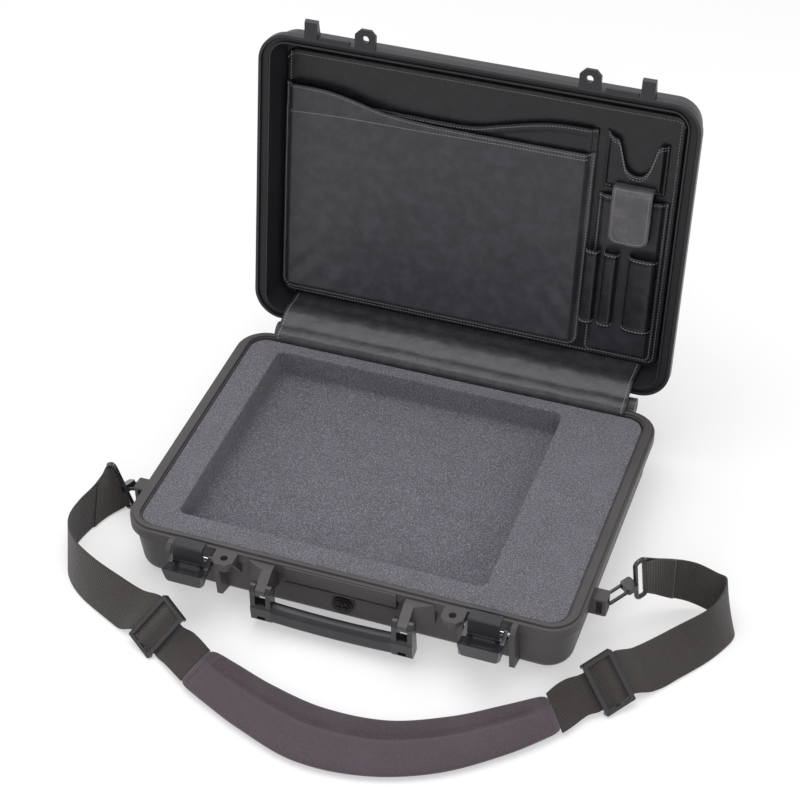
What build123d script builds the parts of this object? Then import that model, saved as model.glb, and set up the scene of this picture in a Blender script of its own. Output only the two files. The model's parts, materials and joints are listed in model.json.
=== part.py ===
"""Laptop hard case with an open lid, foam insert, lid organiser and shoulder strap.

Millimetres. +Z is up, +X runs along the case's length and -Y is the handle side. The origin
is the centre of the case's bottom face. The lid and everything it carries are drawn as in
the closed case and stand in the open pose through the planes that opened() returns.
"""
import os
from math import cos, radians, sin

from build123d import *

# --- Case envelope -------------------------------------------------------------------------
case_length = 505.0
case_depth = 358.0
corner_radius = 34.0
base_height = 69.0
lid_height = 49.6
parting_gap = 0.4
open_angle = 99.7
edge_round = 1.0

# --- Base shell ----------------------------------------------------------------------------
rim_band = 12.0
base_inset = 5.0
base_taper = 4.5
base_bottom_round = 12.0
rim_side_width = 14.5
rim_front_width = 10.0
outer_shoulder = 3.8
inner_shoulder = 1.7
tongue_height = 3.0
cavity_depth = 60.0
cavity_draft = 1.6
cavity_radius = 20.0
cavity_floor_round = 6.0
block_clear = 0.6

# --- Lid shell -----------------------------------------------------------------------------
lid_band = 10.0
lid_inset = 4.0
lid_taper = 3.0
lid_top_round = 12.0
lid_rib_height = 2.0
lid_rib_width = 14.0
lid_rib_from_edge = 42.0
lid_rib_rows = (-120.0, -80.0, 80.0, 120.0)
lid_cavity_depth = 44.5
lid_draft = 4.0
channel_clearance = 0.3
channel_depth = 6.0
gasket_height = 2.6
gasket_bead = 0.5
gasket_bead_inset = 1.2

# --- Hinge ---------------------------------------------------------------------------------
hinge_out = 13.0
hinge_drop = 4.7
hinge_station_start = 120.0
hinge_station_end = 220.0
hinge_knuckle = 18.0
hinge_side_gap = 0.5
hinge_pin_radius = 2.5
hinge_knuckle_radius = 8.0
hinge_ear_radius = 10.5
running_gap = 0.05

# --- Latches -------------------------------------------------------------------------------
latch_x = 163.0
latch_open_angle = 70.0
latch_rib_inner = 24.5
latch_rib_thickness = 6.0
latch_pivot_out = 8.5
latch_pivot_drop = 10.0
latch_pin_radius = 2.2
link_offset = 8.0
link_pin_radius = 2.0
lever_half_width = 22.5
lever_cheek = 4.5
lever_ring_radius = 5.0
knuckle_half_width = 11.5
hook_half_width = 17.0
hook_arm = 5.0
hook_ring_radius = 4.0
lever_lip_round = 6.0
lever_dip = 6.6
lever_crest_out = 15.0
lever_crest_down = 29.0
lever_length = 33.0
hook_shank_in = 3.0
hook_shank_out = 6.5
hook_bite = 2.5
seat_gap = 0.3
keeper_height = 4.6
keeper_out = 3.8
keeper_half_width = 18.0

# --- Handle --------------------------------------------------------------------------------
handle_boss_inner = 73.0
handle_boss_tip = 84.0
handle_boss_root = 104.0
handle_pivot_out = 25.0
handle_pivot_drop = 17.0
handle_rest_tilt = 4.0
handle_pin_radius = 2.5
handle_fork_gap = 0.5
handle_fork = 5.5
handle_ring_radius = 7.0
grip_thickness = 15.0
grip_height = 24.0
grip_drop = 30.0
grip_forward = 2.0
grip_round = 6.5
grip_bow = 2.5

# --- Vent valve ----------------------------------------------------------------------------
valve_height = 27.0
valve_flange_radius = 11.5
valve_flange = 2.0
valve_barrel_radius = 6.5
valve_seal_radius = 9.0
valve_seal_thickness = 1.2
valve_cap_radius = 8.6
valve_cap_thickness = 3.0
valve_lobe_radius = 2.6

# --- Padlock lugs and lid tabs ---------------------------------------------------------------
lug_inner = 115.0
lug_outer = 139.0
lug_out = 21.0
lug_thickness = 5.0
lug_hole_radius = 4.0
lug_hole_x = 126.5
lug_hole_in = 10.5
tab_inner = 183.0
tab_outer = 198.0

# --- Strap staples ---------------------------------------------------------------------------
staple_share = 0.578
staple_length = 17.0
staple_out = 15.5
staple_low = 38.0
staple_high = 60.0
staple_post = 4.6
staple_slot = 6.5
staple_wall = 2.5
staple_back_post = 5.4
staple_window = 5.9
staple_corner = 2.5

# --- Foam ------------------------------------------------------------------------------------
foam_gap = 0.5
foam_edge_round = 1.5
foam_wall_left = 37.0
foam_wall_right = 92.0
foam_wall_front = 29.0
foam_wall_back = 19.0
pocket_depth = 35.0
pocket_radius = 8.0

# --- Organiser -------------------------------------------------------------------------------
board_margin_left = 4.0
board_margin_right = 8.0
board_margin_front = 20.0
board_margin_back = 6.0
board_corner = 14.0
board_thickness = 3.0
column_width = 81.0
column_margin = 8.0
column_rim_drop = 104.0
column_foot = 6.0
pocket_margin = 2.0
pocket_foot = 10.0
back_rim_shape = ((0.0, 50.0), (0.57, 53.5), (0.7, 45.0), (0.85, 32.0), (1.0, 30.0))
front_rim_shape = ((0.0, 39.0), (0.15, 39.5), (0.3, 52.0), (0.42, 57.0), (1.0, 58.0))
yoke_left = 86.0
yoke_right = 15.0
yoke_foot = 97.0
pouch_from_right = (69.5, 24.5)
pouch_from_front = (101.0, 153.0)
pouch_depth = 13.0
pouch_wall = 1.8
flap_sheet = 2.0
flap_above_pouch = 14.0
loop_wall = 1.6
loop_height = 15.0
loop_round = 6.5
loop_from_front = (169.0, 262.0)
loop_from_right = ((94.0, 78.0), (73.0, 56.0), (45.0, 11.0))
sheet_thickness = 2.0
pocket_gap = 4.6
pocket_edge = 3.0
patch_size = 26.0
patch_thickness = 1.2

# --- Strap -----------------------------------------------------------------------------------
webbing_width = 50.0
webbing_thickness = 1.6
hook_bar = 4.0
hook_eye_radius = 5.8
hook_ring_reach = 51.0
hook_block_start = 22.0
hook_block_end = 35.4
hook_block_width = 16.0
hook_block_thickness = 8.0
gate_tip = 6.8
gate_pivot_x = 25.0
gate_radius = 1.9
gate_pin_radius = 1.2
gate_knuckle_radius = 2.6
gate_tip_gap = 0.5
gate_slot_half = 2.3
gate_slot_reach = 7.0
gate_slot_depth = 5.0
hook_block_round = 3.0
swivel_neck = 3.2
swivel_head_length = 2.4
swivel_radius = 2.4
swivel_head = 3.4
ring_bar = 4.6
ring_depth = 13.0
ring_corner = 5.0
slider_length = 36.0
slider_rail = 4.0
slider_thickness = 2.6
slider_bar = 5.0
slider_gap = 0.5
pad_thickness = 12.0
pad_webbing_width = 44.0
strap_laid_length = 505.0
strap_laid_depth = 358.0

# --- Hinge cover -----------------------------------------------------------------------------
flap_thickness = 1.2
flap_margin_left = 24.0
flap_margin_right = 26.0
flap_tuck = 16.0
flap_tuck_clearance = 0.6
flap_overlap = 2.5
flap_bends = [3.0, 9.0, 14.0, 8.0]

# --- Derived sizes ---------------------------------------------------------------------------
half_length = case_length / 2
half_depth = case_depth / 2
lid_rim = base_height + parting_gap
case_top = lid_rim + lid_height
cavity_half_length = half_length - rim_side_width
cavity_half_depth = half_depth - rim_front_width
hinge_y = half_depth + hinge_out
hinge_z = base_height - hinge_drop
latch_pivot_y = -half_depth - latch_pivot_out
latch_pivot_z = base_height - latch_pivot_drop
handle_pivot_y = -half_depth - handle_pivot_out
handle_pivot_z = base_height - handle_pivot_drop
body_face = half_depth - base_inset
cavity_floor = base_height - cavity_depth
lid_ceiling = lid_rim + lid_cavity_depth
keeper_top = lid_rim + keeper_height
staple_y = -staple_share * half_depth
foam_pocket_x = (-cavity_half_length + foam_wall_left, cavity_half_length - foam_wall_right)
foam_pocket_y = (-cavity_half_depth + foam_wall_front, cavity_half_depth - foam_wall_back)
board_left = -cavity_half_length + board_margin_left
board_right = cavity_half_length - board_margin_right
board_front = -cavity_half_depth + board_margin_front
board_back = cavity_half_depth - board_margin_back
board_face = lid_ceiling - patch_thickness - board_thickness
column_left = board_right - column_margin - column_width
column_right = board_right - column_margin
column_face = board_face - pocket_gap - sheet_thickness
pocket_left_x = board_left + pocket_margin
pocket_right_x = column_left - 3 * pocket_margin
flap_left = -cavity_half_length + flap_margin_left
flap_right = cavity_half_length - flap_margin_right
valve_seat = body_face - 0.5
hinge_pivot = (hinge_y, hinge_z)
latch_pivot = (latch_pivot_y, latch_pivot_z)
link_pivot = (latch_pivot_y, latch_pivot_z - link_offset)
handle_pivot = (handle_pivot_y, handle_pivot_z)
link_swing = (
    -link_offset * sin(radians(latch_open_angle)),
    link_offset * (1 - cos(radians(latch_open_angle))),
)


def turned(plane, pivot_y, pivot_z, angle):
    """A plane turned about the X-parallel line through a pivot; positive lifts the far side."""
    pivot = Pos(0, pivot_y, pivot_z)
    back = Pos(0, -pivot_y, -pivot_z)
    return Plane(pivot * Rot(angle, 0, 0) * back * plane.location)


def opened(plane):
    """A plane of the closed lid in the lid's resting pose."""
    return turned(plane, hinge_y, hinge_z, -open_angle)


def levered(plane):
    """A plane of the closed latch lever in the lever's resting pose."""
    return turned(plane, *latch_pivot, -latch_open_angle)


def hooked(plane):
    """A plane of the closed latch hook in the hook's resting pose, which stays upright."""
    return Plane(Pos(0, *link_swing) * plane.location)


def handled(plane):
    """A plane of the upright handle in its hanging pose."""
    return turned(plane, *handle_pivot, handle_rest_tilt)


def as_drawn(plane):
    """A plane left where it is."""
    return plane


def plan_outline(plane, half_x, half_y, radius):
    """Rounded rectangle of the case's plan on a plane."""
    with BuildSketch(plane) as outline:
        RectangleRounded(2 * half_x, 2 * half_y, radius)
    return outline.sketch


def plan_ring(plane, outer, inner):
    """Ring between two rounded rectangles, each given as (half_x, half_y, radius)."""
    with BuildSketch(plane) as ring:
        RectangleRounded(2 * outer[0], 2 * outer[1], outer[2])
        RectangleRounded(2 * inner[0], 2 * inner[1], inner[2], mode=Mode.SUBTRACT)
    return ring.sketch


def side_slab(points, start, end, place=as_drawn, mode=Mode.ADD):
    """Slab between two X positions with a polygon of (y, z) points as its side profile."""
    with BuildSketch(place(Plane.YZ.offset(start))) as profile:
        with BuildLine():
            Polyline(*points, close=True)
        make_face()
    extrude(profile.sketch, amount=end - start, mode=mode)


def side_disc(y, z, radius, start, end, place=as_drawn, mode=Mode.ADD):
    """Cylinder along X between two X positions."""
    with BuildSketch(place(Plane.YZ.offset(start))) as disc:
        with Locations((y, z)):
            Circle(radius)
    extrude(disc.sketch, amount=end - start, mode=mode)


def flat_slab(points, low, high, place=as_drawn, mode=Mode.ADD):
    """Slab between two heights with a polygon of (x, y) points as its plan."""
    with BuildSketch(place(Plane.XY.offset(low))) as profile:
        with BuildLine():
            Polyline(*points, close=True)
        make_face()
    extrude(profile.sketch, amount=high - low, mode=mode)


def block(x, y, z, place=as_drawn, mode=Mode.ADD):
    """Box between two values on each axis, given as (low, high) pairs."""
    corners = [(x[0], y[0]), (x[1], y[0]), (x[1], y[1]), (x[0], y[1])]
    flat_slab(corners, z[0], z[1], place, mode)


def finish_piece(builder, name):
    """Label a finished piece and write it."""
    builder.part.label = name
    export_step(builder.part, f"parts/{name}.step")


os.makedirs("parts", exist_ok=True)
sides = (("left", -1), ("right", 1))
lid_up = Axis(opened(Plane.XY).origin, opened(Plane.XY).z_dir)

# Rim outlines shared by the tongue, the channel and the gasket
case_plan = (half_length, half_depth, corner_radius)
cavity_plan = (cavity_half_length, cavity_half_depth, cavity_radius)
tongue_outer = (
    half_length - outer_shoulder,
    half_depth - outer_shoulder,
    corner_radius - outer_shoulder,
)
tongue_inner = (
    cavity_half_length + inner_shoulder,
    cavity_half_depth + inner_shoulder,
    cavity_radius + inner_shoulder,
)
channel_outer = tuple(size + channel_clearance for size in tongue_outer)
channel_inner = tuple(size - channel_clearance for size in tongue_inner)

# Latch ribs, padlock lugs and handle bosses all grow from the base's front wall
front_wall = -cavity_half_depth - 0.2
rim_front = -half_depth
latch_rib_profile = [
    (front_wall, base_height - 0.5),
    (rim_front - 8.0, base_height - 0.5),
    (rim_front - 13.0, base_height - 6.0),
    (rim_front - 13.0, base_height - 15.0),
    (rim_front - 9.0, base_height - 57.0),
    (front_wall, base_height - 63.0),
]
latch_rib_inner_x = latch_x - latch_rib_inner
latch_rib_outer_x = latch_x + latch_rib_inner

# --- Base shell ------------------------------------------------------------------------------
with BuildPart() as base_shell:
    body_bottom = plan_outline(
        Plane.XY,
        half_length - base_inset - base_taper,
        half_depth - base_inset - base_taper,
        corner_radius - base_inset,
    )
    body_top = plan_outline(
        Plane.XY.offset(base_height - rim_band),
        half_length - base_inset,
        half_depth - base_inset,
        corner_radius - base_inset,
    )
    loft([body_bottom, body_top])
    fillet(base_shell.faces().sort_by(Axis.Z)[0].edges(), base_bottom_round)
    extrude(plan_outline(Plane.XY.offset(base_height - rim_band), *case_plan), amount=rim_band)
    fillet(base_shell.faces().sort_by(Axis.Z)[-1].edges(), edge_round)
    tongue = plan_ring(Plane.XY.offset(base_height), tongue_outer, tongue_inner)
    extrude(tongue, amount=tongue_height)
    fillet(base_shell.faces().sort_by(Axis.Z)[-1].edges(), edge_round)

    # Cavity with its floor round
    cavity_top = plan_outline(Plane.XY.offset(base_height), *cavity_plan)
    cavity_bottom = plan_outline(
        Plane.XY.offset(cavity_floor),
        cavity_half_length - cavity_draft,
        cavity_half_depth - cavity_draft,
        cavity_radius - cavity_draft,
    )
    loft([cavity_bottom, cavity_top], mode=Mode.SUBTRACT)
    floor_face = base_shell.faces().filter_by_position(Axis.Z, cavity_floor - 0.1, cavity_floor + 0.1)
    fillet(floor_face.edges(), cavity_floor_round)

    # Latch ribs and the padlock lug with its boss, on both sides
    for side_name, side in sides:
        for inner_face in (latch_rib_inner_x - latch_rib_thickness, latch_rib_outer_x):
            outer_face = inner_face + latch_rib_thickness
            side_slab(latch_rib_profile, side * inner_face, side * outer_face)
        lug_plan = [
            (side * lug_inner, front_wall),
            (side * lug_inner, rim_front - lug_out + 6.0),
            (side * (lug_inner + 6.0), rim_front - lug_out),
            (side * (lug_outer - 6.0), rim_front - lug_out),
            (side * lug_outer, rim_front - lug_out + 6.0),
            (side * lug_outer, front_wall),
        ]
        flat_slab(lug_plan, base_height - lug_thickness, base_height)
        with BuildSketch(Plane.XY.offset(base_height - lug_thickness)) as lug_boss:
            with Locations((side * lug_hole_x, rim_front - lug_hole_in)):
                Circle(lug_hole_radius + 3.0)
        extrude(lug_boss.sketch, amount=-9.0)
        lug_gusset = [
            (front_wall, base_height - lug_thickness),
            (rim_front - lug_out + 8.0, base_height - lug_thickness),
            (front_wall, base_height - 38.0),
        ]
        side_slab(lug_gusset, side * lug_inner, side * (lug_inner + 4.0))

    # Handle bosses: a tapering plan cut by a tapering side profile
    boss_tip_y = handle_pivot_y - 7.0
    boss_narrow_y = handle_pivot_y + 2 * handle_ring_radius
    boss_profile = [
        (front_wall, base_height - 3.0),
        (rim_front - 8.0, base_height - 3.0),
        (handle_pivot_y, handle_pivot_z + 6.0),
        (boss_tip_y + 1.0, handle_pivot_z + 3.5),
        (boss_tip_y, handle_pivot_z),
        (boss_tip_y + 1.0, handle_pivot_z - 4.0),
        (handle_pivot_y + 1.0, handle_pivot_z - 8.0),
        (front_wall, base_height - 39.0),
    ]
    for side_name, side in sides:
        side_slab(boss_profile, side * handle_boss_inner, side * handle_boss_tip)
        boss_flank = [
            (side * handle_boss_tip, front_wall),
            (side * handle_boss_root, front_wall),
            (side * handle_boss_root, rim_front - 1.0),
            (side * handle_boss_tip, boss_narrow_y),
        ]
        flat_slab(boss_flank, base_height - 30.0, base_height - 3.0)

    # Brow over the vent recess and its thin lower lip
    brow_half = handle_boss_inner - 11.0
    brow_face = rim_front - 2.0
    block((-brow_half, brow_half), (brow_face, front_wall), (base_height - 19.5, base_height - 1.5))
    brow_band = (base_height - 24.0, base_height - 22.2)
    block((-brow_half, brow_half), (brow_face + 0.5, front_wall), brow_band)

    # Flat seat for the vent valve on the drafted wall
    with BuildSketch(Plane.XZ.offset(valve_seat)) as valve_pad:
        with Locations((0, valve_height)):
            Circle(valve_flange_radius + 1.5)
    extrude(valve_pad.sketch, amount=-(valve_seat + front_wall))

    # Strap staples on both ends: a post behind a window, so a hook can close round it
    for side_name, side in sides:
        staple_root = half_length - base_inset - base_taper
        staple_tip = half_length + staple_out
        staple_y_range = (staple_y - staple_length / 2, staple_y + staple_length / 2)
        block((side * staple_root, side * staple_tip), staple_y_range, (staple_low, staple_high))
        fillet(
            base_shell.edges().filter_by(Axis.Z).group_by(Axis.X)[-1 if side > 0 else 0],
            staple_corner,
        )
        slot_outer = staple_tip - staple_post
        slot_z = (staple_low + staple_wall, staple_high - staple_wall)
        slot_x = (side * (slot_outer - staple_slot), side * slot_outer)
        slot_y = (staple_y_range[0] - 1.0, staple_y_range[1] + 1.0)
        block(slot_x, slot_y, slot_z, mode=Mode.SUBTRACT)
        window_back = staple_y_range[1] - staple_back_post
        window_x = (side * (slot_outer - 1.0), side * (staple_tip + 1.0))
        block(window_x, (window_back - staple_window, window_back), slot_z, mode=Mode.SUBTRACT)

    # Hinge knuckles, the outer one of each station with a larger ear
    for side_name, side in sides:
        for start, end, radius in (
            (hinge_station_start, hinge_station_start + hinge_knuckle, hinge_knuckle_radius),
            (hinge_station_end - hinge_knuckle, hinge_station_end, hinge_ear_radius),
        ):
            knuckle_web = [
                (-front_wall, base_height - 4.0),
                (half_depth + 2.0, base_height - 1.5),
                (hinge_y - 1.0, hinge_z + radius - 0.5),
                (hinge_y, hinge_z),
                (hinge_y + 0.8 * radius, hinge_z - 0.5 * radius),
                (-front_wall, hinge_z - 27.0),
            ]
            side_slab(knuckle_web, side * start, side * end)
            side_disc(hinge_y, hinge_z, radius, side * start, side * end)

    # Bores: latch pivots, handle pins, padlock holes, hinge pins and the valve
    for side_name, side in sides:
        rib_start = side * (latch_rib_inner_x - latch_rib_thickness)
        rib_end = side * (latch_rib_outer_x + latch_rib_thickness)
        side_disc(*latch_pivot, latch_pin_radius + running_gap, rib_start, rib_end, mode=Mode.SUBTRACT)
        boss_start = side * (handle_boss_inner - 1.0)
        boss_end = side * (handle_boss_tip + 1.0)
        side_disc(*handle_pivot, handle_pin_radius + running_gap, boss_start, boss_end, mode=Mode.SUBTRACT)
        with BuildSketch(Plane.XY.offset(base_height)) as padlock_hole:
            with Locations((side * lug_hole_x, rim_front - lug_hole_in)):
                Circle(lug_hole_radius)
        extrude(padlock_hole.sketch, amount=-20.0, mode=Mode.SUBTRACT)
        bore_start = side * (hinge_station_start - 1.0)
        bore_end = side * (hinge_station_end + 1.0)
        side_disc(*hinge_pivot, hinge_pin_radius + running_gap, bore_start, bore_end, mode=Mode.SUBTRACT)
    with BuildSketch(Plane.XZ.offset(half_depth)) as valve_bore:
        with Locations((0, valve_height)):
            Circle(valve_barrel_radius + running_gap)
    extrude(valve_bore.sketch, amount=-20.0, mode=Mode.SUBTRACT)

# The shell is stored as blocks that meet face to face: the floor, the four sides, the strap
# staples and what stands out in front of the wall
with BuildPart() as base_blocks:
    add(base_shell.part)
    split(bisect_by=Plane.XY.offset(cavity_floor), keep=Keep.BOTH)
    for _, side in sides:
        split(bisect_by=Plane.YZ.offset(side * (cavity_half_length - cavity_radius)), keep=Keep.BOTH)
        split(bisect_by=Plane.YZ.offset(side * (half_length + block_clear)), keep=Keep.BOTH)
    split(bisect_by=Plane.XZ.offset(half_depth + block_clear), keep=Keep.BOTH)
finish_piece(base_blocks, "base_shell")

# --- Lid shell -------------------------------------------------------------------------------
lid_body_top = case_top - lid_rib_height
with BuildPart(opened(Plane.XY)) as lid_shell:
    lid_wide = plan_outline(
        opened(Plane.XY.offset(lid_rim + lid_band)),
        half_length - lid_inset,
        half_depth - lid_inset,
        corner_radius - lid_inset,
    )
    lid_narrow = plan_outline(
        opened(Plane.XY.offset(lid_body_top)),
        half_length - lid_inset - lid_taper,
        half_depth - lid_inset - lid_taper,
        corner_radius - lid_inset,
    )
    loft([lid_wide, lid_narrow])
    fillet(lid_shell.faces().sort_by(lid_up)[-1].edges(), lid_top_round)
    extrude(plan_outline(opened(Plane.XY.offset(lid_rim)), *case_plan), amount=lid_band)
    fillet(lid_shell.faces().sort_by(lid_up)[0].edges(), edge_round)
    rib_half = half_length - lid_rib_from_edge
    for offset in lid_rib_rows:
        with BuildSketch(opened(Plane.XY.offset(lid_body_top))) as lid_rib:
            with Locations((0, offset)):
                RectangleRounded(2 * rib_half, lid_rib_width, lid_rib_width / 2 - 0.5)
        extrude(lid_rib.sketch, amount=lid_rib_height)

    # Keepers, padlock lugs and outer tabs along the front edge
    for side_name, side in sides:
        keeper_x = (side * (latch_x - keeper_half_width), side * (latch_x + keeper_half_width))
        block(keeper_x, (rim_front - keeper_out, front_wall), (lid_rim, keeper_top), opened)
        lug_plan = [
            (side * lug_inner, front_wall),
            (side * lug_inner, rim_front - lug_out + 6.0),
            (side * (lug_inner + 6.0), rim_front - lug_out),
            (side * (lug_outer - 6.0), rim_front - lug_out),
            (side * lug_outer, rim_front - lug_out + 6.0),
            (side * lug_outer, front_wall),
        ]
        flat_slab(lug_plan, lid_rim, lid_rim + lug_thickness, opened)
        with BuildSketch(opened(Plane.XY.offset(lid_rim))) as lid_hole:
            with Locations((side * lug_hole_x, rim_front - lug_hole_in)):
                Circle(lug_hole_radius)
        extrude(lid_hole.sketch, amount=lug_thickness + 1.0, mode=Mode.SUBTRACT)
        tab_profile = [
            (front_wall, lid_rim),
            (rim_front - lug_out + 2.0, lid_rim),
            (rim_front - lug_out, lid_rim + 2.0),
            (rim_front - lug_out, lid_rim + lug_thickness),
            (front_wall, lid_rim + lid_band + 6.0),
        ]
        side_slab(tab_profile, side * tab_inner, side * tab_outer, opened)

    # Hinge knuckle between the two base knuckles of each station
    for side_name, side in sides:
        start = side * (hinge_station_start + hinge_knuckle + hinge_side_gap)
        end = side * (hinge_station_end - hinge_knuckle - hinge_side_gap)
        lid_web = [
            (-front_wall, lid_rim + 1.0),
            (half_depth + 0.5, lid_rim + 1.0),
            (hinge_y - hinge_knuckle_radius + 0.5, hinge_z + 1.5),
            (hinge_y, hinge_z),
            (hinge_y + hinge_knuckle_radius - 0.5, hinge_z + 2.0),
            (hinge_y + 2.0, lid_rim + lid_band + 4.0),
            (-front_wall, lid_rim + lid_band + 14.0),
        ]
        side_slab(lid_web, start, end, opened)
        side_disc(*hinge_pivot, hinge_knuckle_radius, start, end, opened)
        side_disc(*hinge_pivot, hinge_pin_radius + running_gap, start, end, opened, Mode.SUBTRACT)

    # Cavity and gasket channel
    lid_mouth = plan_outline(opened(Plane.XY.offset(lid_rim)), *cavity_plan)
    lid_bottom = plan_outline(
        opened(Plane.XY.offset(lid_ceiling)),
        cavity_half_length - lid_draft,
        cavity_half_depth - lid_draft,
        cavity_radius - lid_draft,
    )
    loft([lid_mouth, lid_bottom], mode=Mode.SUBTRACT)
    channel = plan_ring(opened(Plane.XY.offset(lid_rim)), channel_outer, channel_inner)
    extrude(channel, amount=channel_depth, mode=Mode.SUBTRACT)
finish_piece(lid_shell, "lid_shell")

with BuildPart(opened(Plane.XY)) as lid_gasket:
    gasket_outer = tuple(size - channel_clearance for size in channel_outer)
    gasket_inner = tuple(size + channel_clearance for size in channel_inner)
    gasket_seat = opened(Plane.XY.offset(lid_rim + channel_depth - gasket_height))
    extrude(plan_ring(gasket_seat, gasket_outer, gasket_inner), amount=gasket_height)
    bead_plan = plan_ring(
        gasket_seat,
        tuple(size - gasket_bead_inset for size in gasket_outer),
        tuple(size + gasket_bead_inset for size in gasket_inner),
    )
    extrude(bead_plan, amount=-gasket_bead)
finish_piece(lid_gasket, "lid_gasket")

for side_name, side in sides:
    with BuildPart() as hinge_pin:
        pin_start = side * (hinge_station_start + 0.5)
        pin_end = side * (hinge_station_end - 0.5)
        side_disc(*hinge_pivot, hinge_pin_radius, pin_start, pin_end)
    finish_piece(hinge_pin, f"hinge_pin_{side_name}")

# --- Latches ---------------------------------------------------------------------------------
lever_root = link_offset + hook_ring_radius
lever_plate = [
    (-1.0, lever_root + 0.4),
    (2.0, lever_root + 0.4),
    (lever_crest_out, lever_crest_down),
    (-3.5, lever_length),
]


def lever_point(outward, down):
    """Side position (y, z) of a point given from the latch pivot, closed."""
    return (latch_pivot_y - outward, latch_pivot_z - down)


def hook_point(outward, up):
    """Side position (y, z) of a point given from the link pin, closed."""
    return (latch_pivot_y - outward, latch_pivot_z - link_offset + up)


nose_low = keeper_top + seat_gap - (latch_pivot_z - link_offset)
nose_high = nose_low + 3.7
nose_in = latch_pivot_y - (rim_front - keeper_out + hook_bite)
for side_name, side in sides:
    centre = side * latch_x
    with BuildPart(levered(Plane.XY)) as latch_lever:
        with BuildSketch(levered(Plane.YZ.offset(centre - lever_half_width))) as plate_side:
            with BuildLine():
                Line(lever_point(*lever_plate[0]), lever_point(*lever_plate[1]))
                ThreePointArc(
                    lever_point(*lever_plate[1]),
                    lever_point(lever_dip, (lever_plate[1][1] + lever_plate[2][1]) / 2),
                    lever_point(*lever_plate[2]),
                )
                Line(lever_point(*lever_plate[2]), lever_point(*lever_plate[3]))
                Line(lever_point(*lever_plate[3]), lever_point(*lever_plate[0]))
            make_face()
        extrude(plate_side.sketch, amount=2 * lever_half_width)
        with BuildSketch(levered(Plane.XZ.offset(-latch_pivot_y))) as plate_plan:
            with Locations((centre, latch_pivot_z - lever_length / 2)):
                RectangleRounded(2 * lever_half_width, lever_length, lever_lip_round)
            with Locations((centre, latch_pivot_z - lever_root)):
                Rectangle(2 * lever_half_width, lever_root)
        extrude(plate_plan.sketch, amount=30.0, both=True, mode=Mode.INTERSECT)
        cheek_profile = [
            lever_point(-lever_ring_radius, 0.0),
            lever_point(lever_ring_radius, 0.0),
            lever_point(4.0, lever_root + 3.0),
            lever_point(-2.0, lever_root + 3.0),
        ]
        for cheek_start in (-lever_half_width, lever_half_width - lever_cheek):
            start = centre + cheek_start
            side_slab(cheek_profile, start, start + lever_cheek, levered)
            side_disc(*latch_pivot, lever_ring_radius, start, start + lever_cheek, levered)
        knuckle_profile = [
            hook_point(-hook_ring_radius, 0.0),
            hook_point(hook_ring_radius - 1.0, 0.0),
            lever_point(2.0, lever_root + 2.0),
            lever_point(-1.0, lever_root + 2.0),
        ]
        start = centre - knuckle_half_width
        end = centre + knuckle_half_width
        side_slab(knuckle_profile, start, end, levered)
        side_disc(*link_pivot, hook_ring_radius, start, end, levered)
        start = centre - lever_half_width
        end = centre + lever_half_width
        side_disc(*latch_pivot, latch_pin_radius + running_gap, start, end, levered, Mode.SUBTRACT)
        side_disc(*link_pivot, link_pin_radius, start, end, levered, Mode.SUBTRACT)
    finish_piece(latch_lever, f"latch_lever_{side_name}")

    with BuildPart(hooked(Plane.XY)) as latch_hook:
        arm_profile = [
            hook_point(-2.6, 3.0),
            hook_point(3.2, 2.4),
            hook_point(hook_shank_out, 6.5),
            hook_point(hook_shank_out, 8.5),
            hook_point(hook_shank_in, 8.5),
            hook_point(hook_shank_in, 6.5),
            hook_point(0.0, 3.9),
        ]
        for arm_start in (-hook_half_width, hook_half_width - hook_arm):
            start = centre + arm_start
            side_slab(arm_profile, start, start + hook_arm, hooked)
            side_disc(*link_pivot, hook_ring_radius, start, start + hook_arm, hooked)
        shank_profile = [
            hook_point(hook_shank_in, 7.0),
            hook_point(hook_shank_out, 7.0),
            hook_point(hook_shank_out, nose_high - 1.5),
            hook_point(hook_shank_out - 1.5, nose_high),
            hook_point(nose_in, nose_high),
            hook_point(nose_in, nose_low),
            hook_point(hook_shank_in, nose_low),
        ]
        start = centre - hook_half_width
        end = centre + hook_half_width
        side_slab(shank_profile, start, end, hooked)
        side_disc(*link_pivot, link_pin_radius + running_gap, start, end, hooked, Mode.SUBTRACT)
    finish_piece(latch_hook, f"latch_hook_{side_name}")

    with BuildPart() as latch_pin:
        start = side * (latch_rib_inner_x - latch_rib_thickness + 0.5)
        end = side * (latch_rib_outer_x + latch_rib_thickness - 0.5)
        side_disc(*latch_pivot, latch_pin_radius, start, end)
    finish_piece(latch_pin, f"latch_pin_{side_name}")

    with BuildPart(levered(Plane.XY)) as link_pin:
        start = centre - lever_half_width + 0.3
        end = centre + lever_half_width - 0.3
        side_disc(*link_pivot, link_pin_radius, start, end, levered)
    finish_piece(link_pin, f"latch_link_pin_{side_name}")

# --- Carrying handle -------------------------------------------------------------------------
fork_inner = handle_boss_inner - handle_fork_gap
fork_outer = handle_boss_tip + handle_fork_gap
grip_y = handle_pivot_y - grip_forward
grip_z = handle_pivot_z - grip_drop
block_start = fork_inner - handle_fork
block_end = fork_outer + handle_fork
core_thickness = grip_thickness - 7.0
core_height = grip_height - 10.0


def grip_section(x, bow):
    """Rounded section of the grip at one X position, let down by a bow."""
    with BuildSketch(handled(Plane.YZ.offset(x))) as section:
        with Locations((grip_y, grip_z - bow)):
            RectangleRounded(grip_thickness, grip_height, grip_round)
    return section.sketch


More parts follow.
